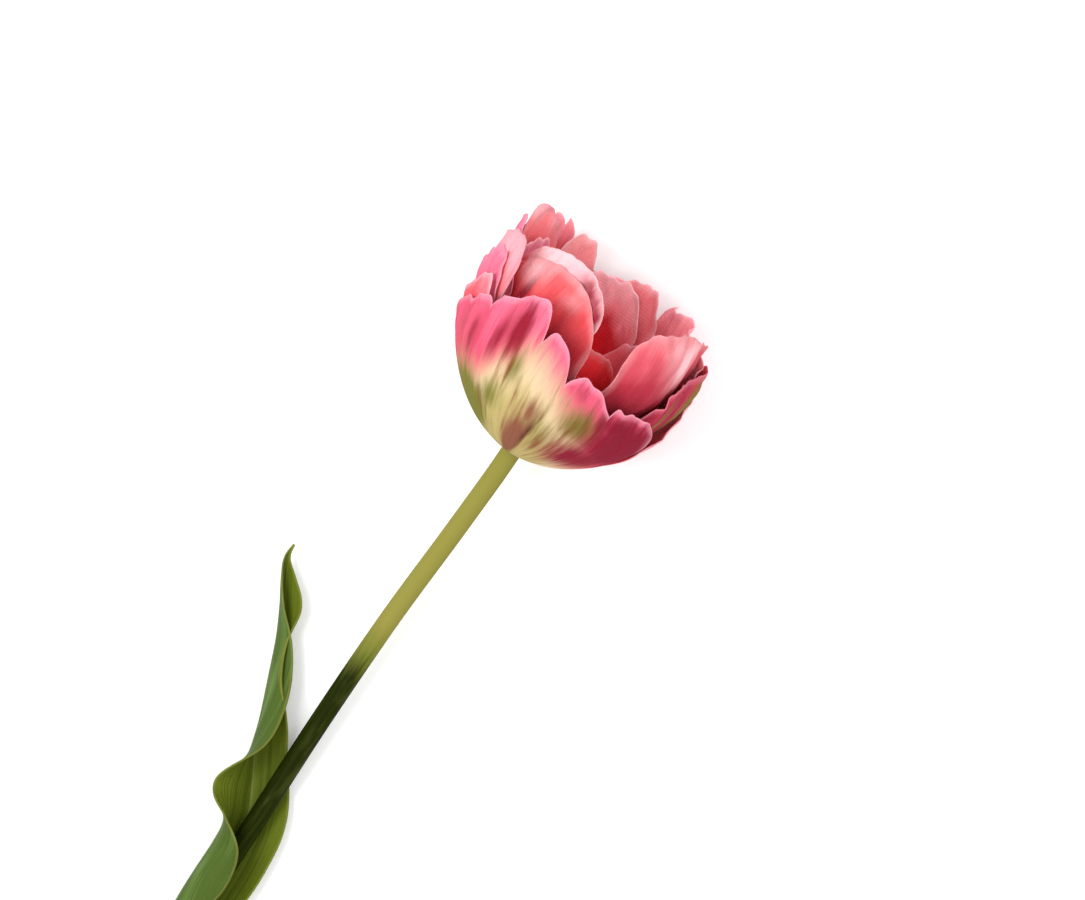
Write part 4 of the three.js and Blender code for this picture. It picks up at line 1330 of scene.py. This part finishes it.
class TulipColours(bpy.types.PropertyGroup):
    """Main colours of the pieces"""

    claw: colour_property("Claw", "Pale lower part of the outer petals", "#d4bb96")
    claw_root: colour_property("Claw's root", "Yellow-green at the very root of the petals", "#a49654")
    fringe: colour_property("Fringe", "Fibres at the petals' margins", "#eaa5b0")
    leaf_outside: colour_property("Leaf outside", "The leaf's waxy outer face", "#445722")
    leaf_inside: colour_property("Leaf inside", "The leaf's inner face", "#59651a")
    stem_top: colour_property("Stem top", "The stem below the bloom", "#827d3a")
    stem_foot: colour_property("Stem foot", "The stem's lower part", "#1a2003")
    pith: colour_property("Pith", "The stem's cut end", "#c9cc8c")
    pistil: colour_property("Pistil", "The pistil in the heart", "#b4b05c")
    anthers: colour_property("Anthers", "The stamens in the heart", "#8c7a34")
    floor: colour_property("Floor", "The floor that the flower lies on", "#fafafa")


# ---- Operators ----------------------------------------------------------------------------------

STEM_STEPS = 140
# The receptacle's radius and height along the bloom's axis. The pistil and the stamens are given so too.
RECEPTACLE = [
    (RECEPTACLE_RADIUS, 1), (RECEPTACLE_RADIUS, 8.3), (5.5, 9.8), (4.4, 10.6), (2.6, RECEPTACLE_TOP),
]
CUT_ROUNDING = [(0.0, 0.9), (0.15, 0.97), (0.4, 1.0)]  # mm from the cut end, share of the radius
PITH_SHARE = 0.86  # of the stem's radius
PITH_ENDS = (-0.02, 0.3)  # mm from the cut end


class TULIP_OT_stem(bpy.types.Operator):
    """Grow the stem with the receptacle at its top and the pith at its cut end"""

    bl_idname = "tulip.stem"
    bl_label = "Stem"

    def execute(self, context):
        sizes, colours = context.scene.tulip_sizes, context.scene.tulip_colours
        line = along(STEM_LINE, np.linspace(0, 1, STEM_STEPS)) + DRAWING_ORIGIN
        start = line[0]
        run = unit_length(line[1] - start)
        cut = [(start + run * depth, STEM_RADIUS * share) for depth, share in CUT_ROUNDING]
        shaft = [(point, STEM_RADIUS) for point in line[1:]]
        top = [(bloom_points(0.0, 0.0, height), radius) for radius, height in RECEPTACLE]
        source = line_object("stem_line", *zip(*cut, *shaft, *top))
        values = {"Sides": sizes.stem_sides, "Material": stem_finish(colours)}
        add_piece("stem_skin", grown(source, stalk_tree(), values), None, "stem", "stem")

        ends = [start + run * depth for depth in PITH_ENDS]
        source = line_object("pith_line", ends, [STEM_RADIUS * PITH_SHARE] * 2)
        values["Material"] = pith_finish(colours)
        add_piece("stem_pith", grown(source, stalk_tree(), values), None, "stem")
        return {"FINISHED"}


LEAF_FINE_ROWS = 230
LEAF_FINE_COLUMNS = 22  # from the midrib to a margin
LEAF_APART = 3.0  # sets the leaf's patterns apart from a petal's


class TULIP_OT_leaf(bpy.types.Operator):
    """Grow the clasping leaf"""

    bl_idname = "tulip.leaf"
    bl_label = "Leaf"

    def execute(self, context):
        grid = leaf_grid(LEAF_FINE_ROWS, LEAF_FINE_COLUMNS) + DRAWING_ORIGIN
        share = np.linspace(0, 1, LEAF_FINE_ROWS + 1)
        widths = [(station["left"][0], station["right"][0]) for station in LEAF]
        left, right = along(widths, share).T[:, :, None]
        steps = np.arange(-LEAF_FINE_COLUMNS, LEAF_FINE_COLUMNS + 1) / LEAF_FINE_COLUMNS
        across = np.where(steps < 0, steps * left, steps * right)
        rib_steps = np.linalg.norm(np.diff(grid[:, LEAF_FINE_COLUMNS], axis=0), axis=1)
        run = np.append(0, np.cumsum(rib_steps))[:, None]
        fields = {
            "place": np.stack(np.broadcast_arrays(across, run, LEAF_APART), -1),
            "margin": np.where(steps < 0, left + across, right - across),
            "rib": np.abs(across),
        }
        mesh = sheet_mesh("leaf_blade", grid, context.scene.tulip_sizes.leaf_thickness / MM, fields)
        add_piece("leaf_blade", mesh, leaf_finish(context.scene.tulip_colours), "leaf", "leaf")
        return {"FINISHED"}


HEART_FOOT = RECEPTACLE_TOP + SEAT_GAP
PISTIL = [(3.4, 0), (3.2, 1.6), (2.4, 3), (2.7, 10), (2.1, 16), (2.6, 17.5), (3.4, 19), (2.4, 20.4)]
PISTIL_SHAPE = {"Sides": 36, "Lobe depth": 0.12}  # the depth of its lobes is a share of its radius
STAMEN = [(0.75, 0), (0.6, 5), (0.5, 8.8), (1.1, 9.5), (1.35, 11.2), (1.2, 15.6), (0.6, 17)]
STAMENS = 6
STAMEN_LEAN = math.radians(12)
STAMEN_RING = 2.6  # radius
STAMEN_HEIGHT = 0.8  # over the heart's foot


class TULIP_OT_heart(bpy.types.Operator):
    """Grow the pistil and the stamens"""

    bl_idname = "tulip.heart"
    bl_label = "Heart"

    def execute(self, context):
        colours = context.scene.tulip_colours
        points = [bloom_points(0.0, 0.0, HEART_FOOT + height) for _, height in PISTIL]
        source = line_object("pistil_line", points, [radius for radius, _ in PISTIL])
        material = heart_finish("pistil_flesh", (*colours.pistil, 1), "#e0dc98")
        values = {**PISTIL_SHAPE, "Material": material}
        add_piece("pistil", grown(source, stalk_tree(), values), None, "heart", "heart")

        points = [(0, 0, height) for _, height in STAMEN]
        source = line_object("stamen_line", points, [radius for radius, _ in STAMEN])
        material = heart_finish("anther_pollen", (*colours.anthers, 1), "#d8c050")
        values = {"Count": STAMENS, "Radius": STAMEN_RING * MM, "Lean": STAMEN_LEAN, "Material": material}
        mesh = grown(source, ring_tree(), values)
        foot = Matrix.Translation(bloom_points(0.0, 0.0, HEART_FOOT + STAMEN_HEIGHT) * MM)
        mesh.transform(foot @ Matrix.Rotation(BLOOM_LIFT - math.pi / 2, 4, "X"))
        add_piece("stamens", mesh, None, "heart")
        return {"FINISHED"}


FRINGED_ABOVE = 0.45  # share of a petal's length


class TULIP_OT_petals(bpy.types.Operator):
    """Grow the petals, nested round the heart, and the fringe along their margins"""

    bl_idname = "tulip.petals"
    bl_label = "Petals"

    def execute(self, context):
        sizes, colours = context.scene.tulip_sizes, context.scene.tulip_colours
        thickness = sizes.petal_thickness / MM
        places, ways = [], []
        for petal in fine_petals(thickness):
            name, grid = petal["name"], petal["grid"]
            fields = petal_fields(petal)
            mesh = sheet_mesh(name, grid, thickness, fields)
            add_piece(name + "_tissue", mesh, petal_finish(petal, fields, colours), "petal", name)
            loop = border(*grid.shape[:2])
            loop = loop[petal["share"][loop[:, 0], loop[:, 1]] > FRINGED_ABOVE]
            places.append(grid[loop[:, 0], loop[:, 1]])
            ways.append(edge_directions(grid, loop))

        mesh = bpy.data.meshes.new("fringe_points")
        mesh.from_pydata((np.concatenate(places) * MM).tolist(), [], [])
        add_field(mesh, "way", np.concatenate(ways))
        values = {"Length": sizes.fringe_length, "Material": fringe_finish(colours)}
        fringe = grown(scene_object("fringe_points", mesh), fringe_tree(), values)
        add_piece("petal_fringe", fringe, None, "petal")
        return {"FINISHED"}


class TULIP_OT_stage(bpy.types.Operator):
    """Set up the floor, the lights and the camera"""

    bl_idname = "tulip.stage"
    bl_label = "Stage"

    def execute(self, context):
        scene = context.scene
        add_floor(scene)
        add_lights(scene)
        add_camera(scene)
        scene.view_settings.view_transform = "Standard"
        return {"FINISHED"}


VIEW_WIDTH = 361.7  # mm across the view, at the height of the flower's middle
VIEW_HEIGHT = 25
VIEW_DISTANCE = 2500
VIEW_TURN = math.radians(34)
VIEW_CENTRE = (8.4, 6.9)
SENSOR_WIDTH = 36
FAR_END = 10  # metres, of what the camera sees

# The floor and the lights are in metres. A light's place is to the right of the flower as the camera sees
# it, up from it in the view and above it, and it has a size and a power in watts.
FLOOR_HALF = 1.5
LIGHTS = {
    "key": ((-0.5, 0.16, 1.0), 0.45, 7.5),
    "fill": ((0.26, -0.04, 1.1), 0.5, 3.5),
}
LIGHTS_AIM = Vector((0, 0.03, 0.02))
ROOM_STRENGTH = 0.98


def add_floor(scene):
    """A matt white board, which shows no more than the flower's soft shadow."""
    mesh = bpy.data.meshes.new("floor")
    left, right = -FLOOR_HALF, FLOOR_HALF
    corners = [(left, left, 0), (right, left, 0), (right, right, 0), (left, right, 0)]
    mesh.from_pydata(corners, [], [(0, 1, 2, 3)])
    floor = scene_object("floor", mesh)
    material, _, surface = new_material("matt_white_board")
    surface.inputs["Base Color"].default_value = (*scene.tulip_colours.floor, 1)
    surface.inputs["Roughness"].default_value = 0.9
    surface.inputs["Specular IOR Level"].default_value = 0.1
    mesh.materials.append(material)


def add_lights(scene):
    """A large soft key light from the upper left of the view, a weaker fill opposite, and a pale room."""
    turned = Matrix.Rotation(VIEW_TURN, 3, "Z")
    for name, (place, size, power) in LIGHTS.items():
        light = bpy.data.lights.new(name, "AREA")
        light.size = size
        light.energy = power
        lamp = scene_object(name, light)
        lamp.location = turned @ Vector(place)
        lamp.rotation_euler = (LIGHTS_AIM - lamp.location).to_track_quat("-Z", "Y").to_euler()
    world = bpy.data.worlds.new("pale_room")
    scene.world = world
    world.use_nodes = True
    background = world.node_tree.nodes["Background"]
    background.inputs["Color"].default_value = (1, 1, 1, 1)
    background.inputs["Strength"].default_value = ROOM_STRENGTH


def add_camera(scene):
    """A camera that looks straight down, turned so that the bloom is up and to the right."""
    camera = bpy.data.cameras.new("camera")
    camera.sensor_width = SENSOR_WIDTH
    camera.lens = SENSOR_WIDTH * VIEW_DISTANCE / VIEW_WIDTH
    camera.clip_end = FAR_END
    seat = scene_object("camera", camera)
    centre = DRAWING_ORIGIN + (*VIEW_CENTRE, 0)
    seat.location = (centre[0] * MM, centre[1] * MM, (VIEW_DISTANCE + VIEW_HEIGHT) * MM)
    seat.rotation_euler = (0, 0, VIEW_TURN)
    scene.camera = seat


class TULIP_PT_panel(bpy.types.Panel):
    """Lists the sizes, the colours and the pieces"""

    bl_idname = "TULIP_PT_panel"
    bl_label = "Double tulip"
    bl_space_type = "VIEW_3D"
    bl_region_type = "UI"
    bl_category = "Tulip"

    def draw(self, context):
        for group in (context.scene.tulip_sizes, context.scene.tulip_colours):
            for name in group.__annotations__:
                self.layout.prop(group, name)
        for operator in OPERATORS:
            self.layout.operator(operator.bl_idname)


OPERATORS = (TULIP_OT_stage, TULIP_OT_stem, TULIP_OT_leaf, TULIP_OT_heart, TULIP_OT_petals)
CLASSES = (TulipSizes, TulipColours, *OPERATORS, TULIP_PT_panel)


def register():
    """Makes the classes and the scene's sizes and colours known."""
    for cls in CLASSES:
        bpy.utils.register_class(cls)
    bpy.types.Scene.tulip_sizes = bpy.props.PointerProperty(type=TulipSizes)
    bpy.types.Scene.tulip_colours = bpy.props.PointerProperty(type=TulipColours)


def unregister():
    """Undoes what register did."""
    del bpy.types.Scene.tulip_colours
    del bpy.types.Scene.tulip_sizes
    for cls in reversed(CLASSES):
        bpy.utils.unregister_class(cls)


def main():
    """Builds the flower on its stage."""
    register()
    bpy.ops.tulip.stage()
    bpy.ops.tulip.stem()
    bpy.ops.tulip.leaf()
    bpy.ops.tulip.heart()
    bpy.ops.tulip.petals()


if __name__ == "__main__":
    main()
